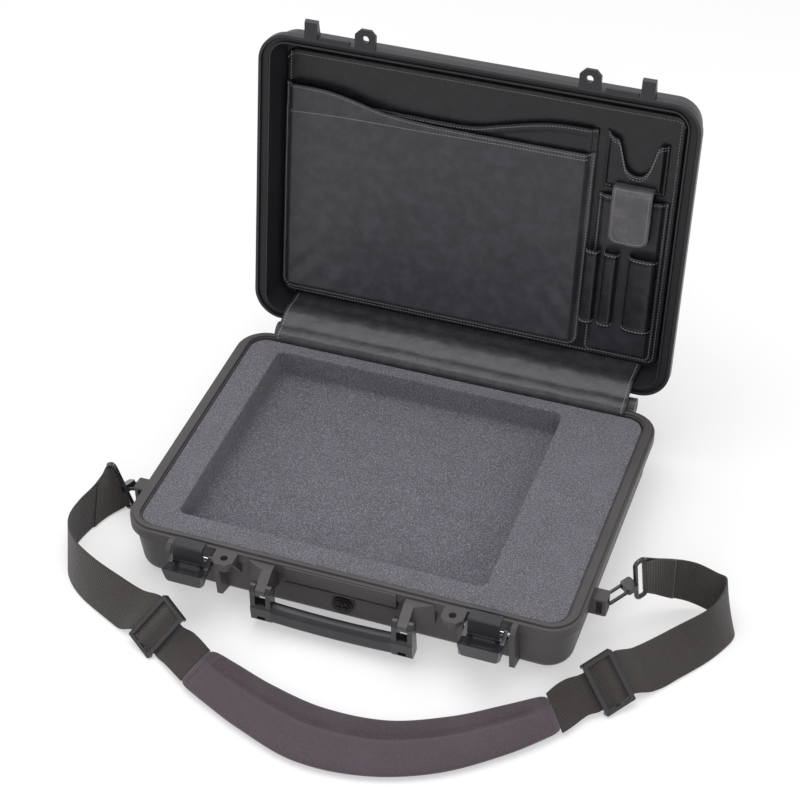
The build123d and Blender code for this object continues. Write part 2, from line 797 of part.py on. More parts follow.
with BuildPart(handled(Plane.XY)) as handle_frame:
    for side_name, side in sides:
        with BuildSketch(handled(Plane.YZ.offset(side * block_start))) as end_block:
            with Locations((grip_y, grip_z)):
                RectangleRounded(grip_thickness, grip_height, grip_round - 2.0)
        extrude(end_block.sketch, amount=side * (block_end - block_start))
        arm_profile = [
            (handle_pivot_y - handle_ring_radius + 0.5, handle_pivot_z),
            (grip_y - 6.5, grip_z + grip_height / 2 - 5.0),
            (grip_y + 6.5, grip_z + grip_height / 2 - 5.0),
            (handle_pivot_y + handle_ring_radius - 0.5, handle_pivot_z),
        ]
        for start in (block_start, fork_outer):
            side_slab(arm_profile, side * start, side * (start + handle_fork), handled)
            side_disc(*handle_pivot, handle_ring_radius, side * start, side * (start + handle_fork), handled)
        pin_bore = (side * (block_start - 1.0), side * (block_end + 1.0))
        side_disc(*handle_pivot, handle_pin_radius, *pin_bore, handled, Mode.SUBTRACT)
        slot_x = (side * (handle_boss_inner + 1.0), side * (handle_boss_tip - 1.0))
        slot_y = (grip_y - grip_thickness, grip_y + grip_thickness)
        block(slot_x, slot_y, (grip_z - 8.5, grip_z - 3.5), handled, Mode.SUBTRACT)
    core_y = (grip_y - core_thickness / 2, grip_y + core_thickness / 2)
    core_z = (grip_z - core_height / 2, grip_z + core_height / 2)
    block((-block_start - 1.0, block_start + 1.0), core_y, core_z, handled)
finish_piece(handle_frame, "handle_frame")

with BuildPart(handled(Plane.XY)) as handle_grip:
    grip_end = block_start
    grip_sections = [
        grip_section(-grip_end, 0.0),
        grip_section(-grip_end / 2, 0.75 * grip_bow),
        grip_section(0.0, grip_bow),
        grip_section(grip_end / 2, 0.75 * grip_bow),
        grip_section(grip_end, 0.0),
    ]
    loft(grip_sections)
    block((-block_start - 1.0, block_start + 1.0), core_y, core_z, handled, Mode.SUBTRACT)
finish_piece(handle_grip, "handle_grip")

for side_name, side in sides:
    with BuildPart(handled(Plane.XY)) as handle_pin:
        pin_span = (side * (block_start + 0.4), side * (block_end - 0.4))
        side_disc(*handle_pivot, handle_pin_radius, *pin_span, handled)
    finish_piece(handle_pin, f"handle_pin_{side_name}")

# --- Vent valve ------------------------------------------------------------------------------
valve_face = valve_seat + valve_seal_thickness + valve_flange


def valve_disc(radius, start, end, mode=Mode.ADD):
    """Disc on the valve's axis between two distances in front of the mid-plane."""
    with BuildSketch(Plane.XZ.offset(start)) as disc:
        with Locations((0, valve_height)):
            Circle(radius)
    extrude(disc.sketch, amount=end - start, mode=mode)


barrel_end = cavity_half_depth - 0.8
with BuildPart() as valve_body:
    valve_disc(valve_flange_radius, valve_seat, valve_face)
    valve_disc(valve_seal_radius, valve_seat, valve_seat + valve_seal_thickness, Mode.SUBTRACT)
    valve_disc(valve_barrel_radius, barrel_end, valve_face)
    valve_disc(valve_barrel_radius - 2.5, barrel_end, valve_face - 1.0, Mode.SUBTRACT)
finish_piece(valve_body, "valve_body")

with BuildPart() as valve_seal:
    valve_disc(valve_seal_radius - 0.1, valve_seat, valve_seat + valve_seal_thickness)
    valve_disc(valve_barrel_radius + 0.1, valve_seat, valve_seat + valve_seal_thickness, Mode.SUBTRACT)
finish_piece(valve_seal, "valve_seal")

with BuildPart() as valve_membrane:
    valve_disc(valve_barrel_radius - 2.6, valve_face - 1.6, valve_face - 1.0)
finish_piece(valve_membrane, "valve_membrane")

with BuildPart() as valve_cap:
    valve_disc(valve_cap_radius, valve_face, valve_face + 0.5 * valve_cap_thickness)
    with BuildSketch(Plane.XZ.offset(valve_face)) as lobes:
        with Locations((0, valve_height)):
            with PolarLocations(valve_cap_radius / 2, 3, start_angle=90):
                Circle(valve_lobe_radius)
    extrude(lobes.sketch, amount=valve_cap_thickness)
finish_piece(valve_cap, "valve_cap")

# --- Foam insert -----------------------------------------------------------------------------
with BuildPart() as foam_insert:
    foam_top = plan_outline(
        Plane.XY.offset(base_height),
        cavity_half_length - foam_gap,
        cavity_half_depth - foam_gap,
        cavity_radius - foam_gap,
    )
    foam_bottom = plan_outline(
        Plane.XY.offset(cavity_floor),
        cavity_half_length - cavity_draft - foam_gap,
        cavity_half_depth - cavity_draft - foam_gap,
        cavity_radius - cavity_draft - foam_gap,
    )
    loft([foam_bottom, foam_top])
    fillet(foam_insert.faces().sort_by(Axis.Z)[0].edges(), cavity_floor_round + foam_gap)
    fillet(foam_insert.faces().sort_by(Axis.Z)[-1].edges(), foam_edge_round)
    pocket_size = (foam_pocket_x[1] - foam_pocket_x[0], foam_pocket_y[1] - foam_pocket_y[0])
    with BuildSketch(Plane.XY.offset(base_height)) as pocket:
        with Locations((sum(foam_pocket_x) / 2, sum(foam_pocket_y) / 2)):
            RectangleRounded(*pocket_size, pocket_radius)
    extrude(pocket.sketch, amount=-pocket_depth, mode=Mode.SUBTRACT)
    tuck_y = cavity_half_depth - foam_gap - flap_thickness - 2 * flap_tuck_clearance
    block(
        (flap_left - 1.0, flap_right + 1.0),
        (tuck_y, half_depth),
        (base_height - flap_tuck - 2.0, base_height + 1.0),
        mode=Mode.SUBTRACT,
    )
finish_piece(foam_insert, "foam_insert")

# --- Lid organiser ---------------------------------------------------------------------------
with BuildPart(opened(Plane.XY)) as organiser_board:
    board_centre = ((board_left + board_right) / 2, (board_front + board_back) / 2)
    with BuildSketch(opened(Plane.XY.offset(board_face))) as board_plan:
        with Locations(board_centre):
            RectangleRounded(board_right - board_left, board_back - board_front, board_corner)
    extrude(board_plan.sketch, amount=board_thickness)
finish_piece(organiser_board, "organiser_board")

with BuildPart(opened(Plane.XY)) as fixing_patches:
    with BuildSketch(opened(Plane.XY.offset(lid_ceiling - patch_thickness))) as patch_plan:
        with Locations(board_centre):
            patch_x = board_right - board_left - 2 * patch_size
            patch_y = board_back - board_front - 2 * patch_size
            with GridLocations(patch_x / 2, patch_y, 3, 2):
                RectangleRounded(patch_size, patch_size, 3.0)
    extrude(patch_plan.sketch, amount=patch_thickness)
finish_piece(fixing_patches, "fixing_patches")


def tray_pocket(rim_points, bottom, back_face, gap):
    """Sheet with side and bottom edges standing on a face, open along its shaped rim.

    rim_points run from the left end of the rim to its right end.
    """
    left, right = rim_points[0], rim_points[-1]
    sheet_face = back_face - gap - sheet_thickness
    with BuildSketch(opened(Plane.XY.offset(sheet_face))) as front:
        with BuildLine():
            if len(rim_points) > 2:
                Spline(*rim_points)
            else:
                Line(left, right)
            Polyline(right, (right[0], bottom), (left[0], bottom), left)
        make_face()
    extrude(front.sketch, amount=sheet_thickness)
    gusset_z = (sheet_face + sheet_thickness, back_face)
    block((left[0], left[0] + pocket_edge), (left[1] + 2.0, bottom), gusset_z, opened)
    block((right[0] - pocket_edge, right[0]), (right[1] + 2.0, bottom), gusset_z, opened)
    block((left[0], right[0]), (bottom - pocket_edge, bottom), gusset_z, opened)


def shaped_rim(shape):
    """Rim points from (share of the pocket's width, drop from the board's front edge) pairs."""
    width = pocket_right_x - pocket_left_x
    return [(pocket_left_x + share * width, board_front + drop) for share, drop in shape]


with BuildPart(opened(Plane.XY)) as back_pocket:
    tray_pocket(shaped_rim(back_rim_shape), board_back - pocket_foot, board_face, pocket_gap)
finish_piece(back_pocket, "back_pocket")

with BuildPart(opened(Plane.XY)) as document_pocket:
    tray_pocket(shaped_rim(front_rim_shape), board_back - pocket_foot, column_face, pocket_gap)
finish_piece(document_pocket, "document_pocket")

# Holder with two horns, drawn by distances from the board's right and front edges
with BuildPart(opened(Plane.XY)) as yoke_holder:
    horns = [
        (yoke_left, 28.0),
        (78.0, 34.0),
        (70.0, 37.0),
        (62.0, 65.0),
        (47.0, 76.0),
        (33.0, 65.0),
        (28.0, 38.0),
        (yoke_right, 35.0),
        (yoke_right, yoke_foot),
        (yoke_left, yoke_foot),
    ]
    yoke_plan = [(board_right - x, board_front + y) for x, y in horns]
    flat_slab(yoke_plan, column_face, column_face + sheet_thickness, opened)
    yoke_x = (board_right - yoke_left, board_right - yoke_right)
    yoke_y = (board_front + 40.0, board_front + yoke_foot)
    yoke_z = (column_face + sheet_thickness, board_face)
    block((yoke_x[0], yoke_x[0] + pocket_edge), yoke_y, yoke_z, opened)
    block((yoke_x[1] - pocket_edge, yoke_x[1]), yoke_y, yoke_z, opened)
    block(yoke_x, (yoke_y[1] - pocket_edge, yoke_y[1]), yoke_z, opened)
finish_piece(yoke_holder, "yoke_holder")

column_rim = board_front + column_rim_drop
with BuildPart(opened(Plane.XY)) as column_pocket:
    column_rim_points = [(column_left, column_rim), (column_right, column_rim - 2.0)]
    tray_pocket(column_rim_points, board_back - column_foot, board_face, pocket_gap)
finish_piece(column_pocket, "column_pocket")

# Phone pouch on the column pocket, open at its front end, with a flap hung in front of it
pouch_x = tuple(board_right - distance for distance in pouch_from_right)
pouch_y = tuple(board_front + distance for distance in pouch_from_front)
pouch_face = column_face - pouch_depth
with BuildPart(opened(Plane.XY)) as phone_pouch:
    block(pouch_x, pouch_y, (pouch_face, column_face), opened)
    hollow_x = (pouch_x[0] + pouch_wall, pouch_x[1] - pouch_wall)
    hollow_y = (pouch_y[0] - 1.0, pouch_y[1] - pouch_wall)
    block(hollow_x, hollow_y, (pouch_face + pouch_wall, column_face - pouch_wall), opened, Mode.SUBTRACT)
finish_piece(phone_pouch, "phone_pouch")

flap_pivot_y = pouch_y[0] - flap_above_pouch
flap_pivot_z = column_face - 1.5
flap_front = pouch_face - seat_gap - flap_sheet
flap_half_sheet = flap_sheet / 2
with BuildPart(opened(Plane.XY)) as phone_flap:
    flap_profile = [
        (flap_pivot_y - flap_half_sheet, flap_pivot_z),
        (flap_pivot_y + flap_half_sheet, flap_pivot_z),
        (flap_pivot_y + flap_half_sheet + 4.0, flap_front + flap_sheet),
        (pouch_y[1] + 1.0, flap_front + flap_sheet),
        (pouch_y[1] + 1.0, flap_front),
        (flap_pivot_y + 1.0, flap_front),
        (flap_pivot_y - flap_half_sheet, flap_front + 3.0),
    ]
    flap_x = (pouch_x[0] - 0.5, pouch_x[1] + 0.5)
    side_slab(flap_profile, *flap_x, opened)
    side_disc(flap_pivot_y, flap_pivot_z, flap_half_sheet, *flap_x, opened)
finish_piece(phone_flap, "phone_flap")

# Three pen loops, bulging tubes open at both ends
loop_y = tuple(board_front + distance for distance in loop_from_front)
with BuildPart(opened(Plane.XY)) as pen_loops:
    for from_right in loop_from_right:
        loop_start, loop_end = (board_right - distance for distance in from_right)
        loop_width = loop_end - loop_start
        loop_centre = ((loop_start + loop_end) / 2, column_face - loop_height / 2)
        with BuildSketch(opened(Plane.XZ.offset(-loop_y[1]))) as loop_section:
            with Locations(loop_centre):
                RectangleRounded(loop_width, loop_height, loop_round)
                inner_size = (loop_width - 2 * loop_wall, loop_height - 2 * loop_wall)
                RectangleRounded(*inner_size, loop_round - loop_wall, mode=Mode.SUBTRACT)
        extrude(loop_section.sketch, amount=loop_y[1] - loop_y[0])
    backing_x = (board_right - loop_from_right[0][0] + 6.0, board_right - loop_from_right[-1][1] - 6.0)
    block(backing_x, loop_y, (column_face - loop_wall, column_face), opened)
finish_piece(pen_loops, "pen_loops")

# --- Flap over the hinge gap -----------------------------------------------------------------


def opened_point(y, z):
    """Side position (y, z) at rest of a point given in the closed lid."""
    place = opened(Plane(origin=(0, y, z))).origin
    return (place.Y, place.Z)


with BuildPart() as hinge_cover:
    tuck_line = cavity_half_depth - foam_gap - flap_thickness / 2 - flap_tuck_clearance
    flap_path = [
        (tuck_line, base_height - flap_tuck),
        (tuck_line, base_height + tongue_height + 2.2),
        (half_depth + 6.0, base_height + 12.0),
        (half_depth + 25.0, base_height + 20.8),
        (half_depth + 46.0, base_height + 17.8),
        opened_point(board_back - flap_overlap, board_face - 0.4),
    ]
    with BuildSketch(Plane.YZ.offset(flap_left)) as flap_section:
        with BuildLine() as flap_line:
            FilletPolyline(*flap_path, radius=flap_bends)
        trace(flap_line.line, line_width=flap_thickness)
    extrude(flap_section.sketch, amount=flap_right - flap_left)
finish_piece(hinge_cover, "hinge_cover")

# --- Shoulder strap --------------------------------------------------------------------------
# A strap station is the lower and the upper edge point of the flat strip. The strap lies on
# the floor in front of the case, on its lower edge near the case and flat under the pad.
staple_post_x = half_length + staple_out - staple_post / 2
staple_post_y = staple_y + staple_length / 2 - staple_back_post / 2
staple_post_z = (staple_low + staple_high) / 2
hook_headings = {"left": (-39.7, 16.9, -25.0), "right": (29.0, 40.3, 6.0)}
hook_slack = {"left": 0.6, "right": 0.0}
ring_steps = {"left": (webbing_thickness,), "right": (seat_gap, 4.0)}
slider_stations = {
    "left": ((-186.0, -277.0, 6.5), (-159.5, -252.5, 41.5)),
    "right": ((306.0, -195.5, 7.0), (277.5, -181.5, 45.5)),
}
slider_headings = {"left": (42.0, -19.0, -6.0), "right": (-31.0, -33.0, -4.0)}
webbing_stations = {
    "left": [
        ((-308.0, -110.0, 1.5), (-318.0, -88.0, 45.0)),
        ((-316.0, -136.0, 1.0), (-321.0, -106.0, 42.0)),
        ((-320.0, -162.0, 1.0), (-327.0, -130.0, 40.0)),
        ((-317.0, -184.0, 1.0), (-327.0, -154.0, 40.0)),
        ((-309.0, -203.0, 1.0), (-317.0, -176.0, 43.0)),
        ((-296.0, -219.0, 1.0), (-297.0, -197.0, 46.0)),
        ((-278.0, -233.0, 1.0), (-269.0, -213.0, 46.0)),
        ((-252.0, -247.0, 1.5), (-236.0, -225.0, 43.5)),
        ((-222.0, -261.5, 3.0), (-202.0, -235.5, 41.5)),
    ],
    "right": [
        ((317.0, -42.0, 17.0), (314.0, -36.0, 66.0)),
        ((339.0, -33.0, 8.0), (341.0, -23.0, 57.0)),
        ((363.0, -34.0, 2.5), (366.0, -25.0, 51.5)),
        ((384.0, -42.0, 1.5), (376.0, -26.0, 47.0)),
        ((395.0, -58.0, 1.0), (376.0, -45.0, 45.0)),
        ((391.0, -78.0, 1.0), (368.0, -72.0, 45.0)),
        ((371.0, -115.0, 1.5), (338.0, -103.0, 37.0)),
        ((336.0, -162.0, 4.0), (307.0, -147.0, 41.5)),
    ],
}
pad_webbing_stations = {
    "left": [((-153.5, -296.0, 4.5), (-130.5, -262.5, 29.0))],
    "right": [((280.0, -221.0, 5.5), (252.5, -208.0, 38.5))],
}
pad_stations = [
    ((-127.0, -314.0, 6.5), (-108.0, -272.0, 20.0)),
    ((-96.0, -329.0, 6.5), (-72.0, -282.0, 17.0)),
    ((-48.0, -350.0, 6.5), (-32.0, -292.0, 12.5)),
    ((21.0, -371.0, 6.5), (27.0, -302.0, 11.0)),
    ((94.0, -366.0, 6.5), (93.0, -297.0, 11.0)),
    ((161.0, -339.0, 6.5), (152.0, -272.0, 12.0)),
    ((218.0, -295.0, 6.5), (197.0, -246.0, 17.0)),
    ((262.0, -249.0, 6.5), (237.0, -221.0, 22.0)),
]


def laid(stations):
    """Strap stations for this size of case, from those of the case it was laid round."""
    stretch = (case_length / strap_laid_length, case_depth / strap_laid_depth, 1.0)
    return [
        tuple(Vector(*(part * share for part, share in zip(point, stretch))) for point in station)
        for station in stations
    ]


def station_planes(stations):
    """Planes across a strip: x along its width, z along its run."""
    middles = [(Vector(low) + Vector(high)) / 2 for low, high in stations]
    planes = []
    for index, (low, high) in enumerate(stations):
        before = middles[max(index - 1, 0)]
        after = middles[min(index + 1, len(middles) - 1)]
        width = (Vector(high) - Vector(low)).normalized()
        run = after - before
        run = run - width * run.dot(width)
        planes.append(Plane(origin=middles[index], x_dir=width, z_dir=run))
    return planes


def flat_strip(planes, width):
    """Flat strip of webbing through its planes."""
    sections = []
    for plane in planes:
        with BuildSketch(plane) as section:
            Rectangle(width, webbing_thickness)
        sections.append(section.sketch)
    loft(sections, ruled=True)


def padded_strip(planes, widths, thickness):
    """Rounded strip through its planes, with a width at each of them."""
    sections = []
    for plane, width in zip(planes, widths):
        with BuildSketch(plane) as section:
            RectangleRounded(width, thickness, 0.49 * thickness)
        sections.append(section.sketch)
    loft(sections)


def hook_frame(side_name, side):
    """Plane of a snap hook: x from its eye to its ring, z across it and close to upright."""
    heading = Vector(*hook_headings[side_name]).normalized()
    upright = Vector(0, 0, 1) - heading * heading.Z
    post = Vector(side * staple_post_x, staple_post_y, staple_post_z)
    return Plane(origin=post - heading * hook_slack[side_name], x_dir=heading, z_dir=upright)


def slider_frame(side_name, side):
    """Plane of a slider: x across the webbing, y along it, z toward the strap's outer face."""
    low, high = laid([slider_stations[side_name]])[0]
    width = (high - low).normalized()
    run = Vector(*slider_headings[side_name])
    run = (run - width * run.dot(width)).normalized()
    return Plane(origin=(low + high) / 2, x_dir=width, z_dir=run.cross(width) * -side)


def ring_station(side_name, side, out):
    """Strap station on a hook's ring, beyond its far bar."""
    frame = hook_frame(side_name, side)
    reach = hook_ring_reach + ring_bar / 2 + out
    half = webbing_width / 2
    return tuple(frame.from_local_coords((reach, 0, z)) for z in (-half, half))


def slider_station(side_name, side, along):
    """Strap station at a slider, a distance along the strap from its centre bar."""
    frame = slider_frame(side_name, side)
    origin = frame.origin
    heading = Vector(*slider_headings[side_name])
    run = frame.y_dir if frame.y_dir.dot(heading) > 0 else -frame.y_dir
    half = webbing_width / 2
    return tuple(origin + run * along + frame.x_dir * x for x in (-half, half))


pad_planes = station_planes(laid(pad_stations))
pad_widths = [(Vector(*high) - Vector(*low)).length for low, high in pad_stations]
pad_ends = {"left": pad_planes[0].offset(-seat_gap), "right": pad_planes[-1].offset(seat_gap)}
slider_straight = slider_length / 2 + 2.0
for side_name, side in sides:
    strap_run = [ring_station(side_name, side, out) for out in ring_steps[side_name]]
    strap_run += laid(webbing_stations[side_name])
    strap_run += [slider_station(side_name, side, along) for along in (-slider_straight, -seat_gap)]
    with BuildPart() as strap_webbing:
        flat_strip(station_planes(strap_run), webbing_width)
    finish_piece(strap_webbing, f"strap_webbing_{side_name}")

    pad_run = [slider_station(side_name, side, along) for along in (seat_gap, slider_straight)]
    pad_run += laid(pad_webbing_stations[side_name])
    with BuildPart() as pad_webbing:
        flat_strip([*station_planes(pad_run), pad_ends[side_name]], pad_webbing_width)
    finish_piece(pad_webbing, f"pad_webbing_{side_name}")

    # Slider: side rails and end bars on the outer face, the centre bar under the webbing
    frame = slider_frame(side_name, side)
    rail_x = webbing_width / 2 + slider_gap + slider_rail / 2
    end_bar_y = (slider_length - slider_bar) / 2
    bar_low = webbing_thickness / 2 + seat_gap
    slider_half = bar_low + slider_thickness
    with BuildPart() as strap_slider:
        with BuildSketch(frame.offset(-slider_half)):
            with Locations((-rail_x, 0), (rail_x, 0)):
                RectangleRounded(slider_rail, slider_length, 0.4 * slider_rail)
        extrude(amount=2 * slider_half)
        with BuildSketch(frame.offset(bar_low)):
            with Locations((0, -end_bar_y), (0, end_bar_y)):
                Rectangle(2 * rail_x, slider_bar)
        extrude(amount=slider_thickness)
        with BuildSketch(frame.offset(-slider_half)):
            Rectangle(2 * rail_x, slider_bar)
        extrude(amount=slider_thickness)
    finish_piece(strap_slider, f"strap_slider_{side_name}")

with BuildPart() as shoulder_pad:
    padded_strip(pad_planes, pad_widths, pad_thickness)
finish_piece(shoulder_pad, "shoulder_pad")

# --- Swivel snap hooks -----------------------------------------------------------------------
block_middle = (hook_block_start + hook_block_end) / 2
block_length = hook_block_end - hook_block_start
half_block = hook_block_thickness / 2
swivel_head_start = hook_block_end - swivel_neck - swivel_head_length
ring_half = webbing_width / 2 + slider_gap + ring_bar / 2


def hook_rod(frame, start, end, offset, radius, mode=Mode.ADD):
    """Rod along a hook's length at a sideways offset."""
    end_plane = Plane(origin=frame.from_local_coords((start, offset, 0)), z_dir=frame.x_dir)
    with BuildSketch(end_plane) as rod_end:
        Circle(radius)
    extrude(rod_end.sketch, amount=end - start, mode=mode)


def gate_disc(frame, radius, half_thickness, mode=Mode.ADD):
    """Disc about the gate's pivot, across the hook."""
    with BuildSketch(frame.offset(-half_thickness)) as disc:
        with Locations((gate_pivot_x, hook_eye_radius)):
            Circle(radius)
    extrude(disc.sketch, amount=2 * half_thickness, mode=mode)


for side_name, side in sides:
    frame = hook_frame(side_name, side)
    with BuildPart() as snap_hook:
        with BuildLine(frame) as eye_path:
            Line((block_middle, -hook_eye_radius), (0, -hook_eye_radius))
            ThreePointArc((0, -hook_eye_radius), (-hook_eye_radius, 0), (0, hook_eye_radius))
            Line((0, hook_eye_radius), (gate_tip - gate_tip_gap, hook_eye_radius))
        eye_start = Plane(origin=eye_path.line @ 0, z_dir=eye_path.line % 0)
        with BuildSketch(eye_start) as eye_section:
            Circle(hook_bar / 2)
        sweep(eye_section.sketch, path=eye_path.line)
        with BuildSketch(frame.offset(-half_block)) as block_plan:
            with Locations((block_middle, 0)):
                RectangleRounded(block_length, hook_block_width, hook_block_round)
        extrude(block_plan.sketch, amount=hook_block_thickness)
        with BuildSketch(frame.offset(-gate_slot_half)) as gate_slot:
            with Locations((hook_block_start, hook_block_width / 2)):
                Rectangle(2 * gate_slot_reach, 2 * gate_slot_depth)
        extrude(gate_slot.sketch, amount=2 * gate_slot_half, mode=Mode.SUBTRACT)
        gate_disc(frame, gate_pin_radius + running_gap, half_block, Mode.SUBTRACT)
        head_end = swivel_head_start + swivel_head_length
        hook_rod(frame, swivel_head_start, head_end, 0, swivel_head + 0.3, Mode.SUBTRACT)
        hook_rod(frame, head_end, hook_block_end, 0, swivel_radius + 0.2, Mode.SUBTRACT)
    finish_piece(snap_hook, f"snap_hook_{side_name}")

    with BuildPart() as snap_gate:
        hook_rod(frame, gate_tip, gate_pivot_x, hook_eye_radius, gate_radius)
        gate_disc(frame, gate_knuckle_radius, gate_slot_half - seat_gap)
        gate_disc(frame, gate_pin_radius, half_block)
    finish_piece(snap_gate, f"snap_gate_{side_name}")

    with BuildPart() as swivel_ring:
        ring_plane = Plane(origin=frame.origin, x_dir=frame.x_dir, z_dir=frame.y_dir)
        ring_middle = hook_ring_reach - ring_depth / 2
        with BuildSketch(ring_plane.offset(-ring_bar / 2)) as ring_plan:
            with Locations((ring_middle, 0)):
                RectangleRounded(ring_depth + ring_bar, 2 * ring_half + ring_bar, ring_corner + ring_bar / 2)
                RectangleRounded(
                    ring_depth - ring_bar,
                    2 * ring_half - ring_bar,
                    ring_corner - ring_bar / 2,
                    mode=Mode.SUBTRACT,
                )
        extrude(ring_plan.sketch, amount=ring_bar)
        ring_faces = swivel_ring.faces().filter_by(Axis(frame.origin, frame.y_dir))
        fillet(ring_faces.edges(), ring_bar * 0.36)
        hook_rod(frame, swivel_head_start + seat_gap, head_end - seat_gap, 0, swivel_head)
        hook_rod(frame, head_end - seat_gap, hook_ring_reach - ring_depth, 0, swivel_radius)
    finish_piece(swivel_ring, f"swivel_ring_{side_name}")
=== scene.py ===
"""Laptop hard case dressed for viewing: finishes on its moulded parts, and its soft goods.

Metres. +Z is up, +X runs along the case and -Y is the handle side. The lid's soft goods are
drawn as in the closed case and stood up with the open lid.
"""
from __future__ import annotations

import json
import logging
import math
from dataclasses import dataclass, field
from enum import Enum
from typing import Any, Callable, Iterable, Sequence

import bmesh
import bpy
from mathutils import Matrix, Vector, noise

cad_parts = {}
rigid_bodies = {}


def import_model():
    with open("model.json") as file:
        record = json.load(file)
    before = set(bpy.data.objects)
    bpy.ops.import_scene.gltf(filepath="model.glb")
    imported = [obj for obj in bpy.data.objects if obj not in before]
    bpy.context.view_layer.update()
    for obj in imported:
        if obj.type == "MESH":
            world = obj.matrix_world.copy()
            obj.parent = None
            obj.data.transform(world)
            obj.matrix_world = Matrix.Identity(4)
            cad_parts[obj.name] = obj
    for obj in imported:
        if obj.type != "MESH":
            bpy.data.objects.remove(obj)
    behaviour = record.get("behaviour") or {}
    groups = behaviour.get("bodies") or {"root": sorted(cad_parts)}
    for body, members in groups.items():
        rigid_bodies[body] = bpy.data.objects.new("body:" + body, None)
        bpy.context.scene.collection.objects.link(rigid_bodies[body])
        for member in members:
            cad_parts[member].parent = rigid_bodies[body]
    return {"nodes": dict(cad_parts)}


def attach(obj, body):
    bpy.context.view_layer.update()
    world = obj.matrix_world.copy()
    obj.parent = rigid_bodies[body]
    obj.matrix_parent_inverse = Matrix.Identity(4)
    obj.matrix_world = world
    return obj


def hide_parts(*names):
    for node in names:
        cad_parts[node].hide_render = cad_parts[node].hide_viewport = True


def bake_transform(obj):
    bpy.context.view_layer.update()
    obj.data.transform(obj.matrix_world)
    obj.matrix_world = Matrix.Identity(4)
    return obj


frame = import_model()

log = logging.getLogger("hard_case")

Point = tuple[float, float, float]
Pair = tuple[float, float]
Colour = tuple[float, float, float]
MM = 0.001
TURN = 2.0 * math.pi


# --- Shader building -------------------------------------------------------------------------


class Value:
    """A shader socket that adds Math nodes when it stands in an expression."""

    def __init__(self, tree: bpy.types.NodeTree, socket: bpy.types.NodeSocket) -> None:
        """Wrap a socket.

        Args:
            tree: the node tree that the socket is in.
            socket: the output socket to wrap.
        """
        self.tree = tree
        self.socket = socket

    def math(self, operation: str, *terms: Any) -> "Value":
        """Add one Math node.

        Args:
            operation: the Math node's operation.
            terms: numbers or values, in the order of the node's sockets.

        Returns:
            The node's result.
        """
        node = self.tree.nodes.new("ShaderNodeMath")
        node.operation = operation
        for index, term in enumerate(terms):
            if isinstance(term, Value):
                self.tree.links.new(term.socket, node.inputs[index])
            else:
                node.inputs[index].default_value = term
        return Value(self.tree, node.outputs[0])

    def __add__(self, other: Any) -> "Value":
        """Sum."""
        return self.math("ADD", self, other)

    def __radd__(self, other: Any) -> "Value":
        """Sum, reflected."""
        return self.math("ADD", other, self)

    def __sub__(self, other: Any) -> "Value":
        """Difference."""
        return self.math("SUBTRACT", self, other)

    def __rsub__(self, other: Any) -> "Value":
        """Difference, reflected."""
        return self.math("SUBTRACT", other, self)

    def __mul__(self, other: Any) -> "Value":
        """Product."""
        return self.math("MULTIPLY", self, other)

    def __rmul__(self, other: Any) -> "Value":
        """Product, reflected."""
        return self.math("MULTIPLY", other, self)

    def __abs__(self) -> "Value":
        """Magnitude."""
        return self.math("ABSOLUTE", self)

    def sine(self) -> "Value":
        """Sine of an angle in radians."""
        return self.math("SINE", self)

    def band(self, low: float, high: float) -> "Value":
        """Smooth step from 0 at low to 1 at high.

        Args:
            low: the value that gives 0.
            high: the value that gives 1.

        Returns:
            A value from 0 to 1.
        """
        node = self.tree.nodes.new("ShaderNodeMapRange")
        node.interpolation_type = "SMOOTHSTEP"
        self.tree.links.new(self.socket, node.inputs["Value"])
        node.inputs["From Min"].default_value = low
        node.inputs["From Max"].default_value = high
        return Value(self.tree, node.outputs["Result"])


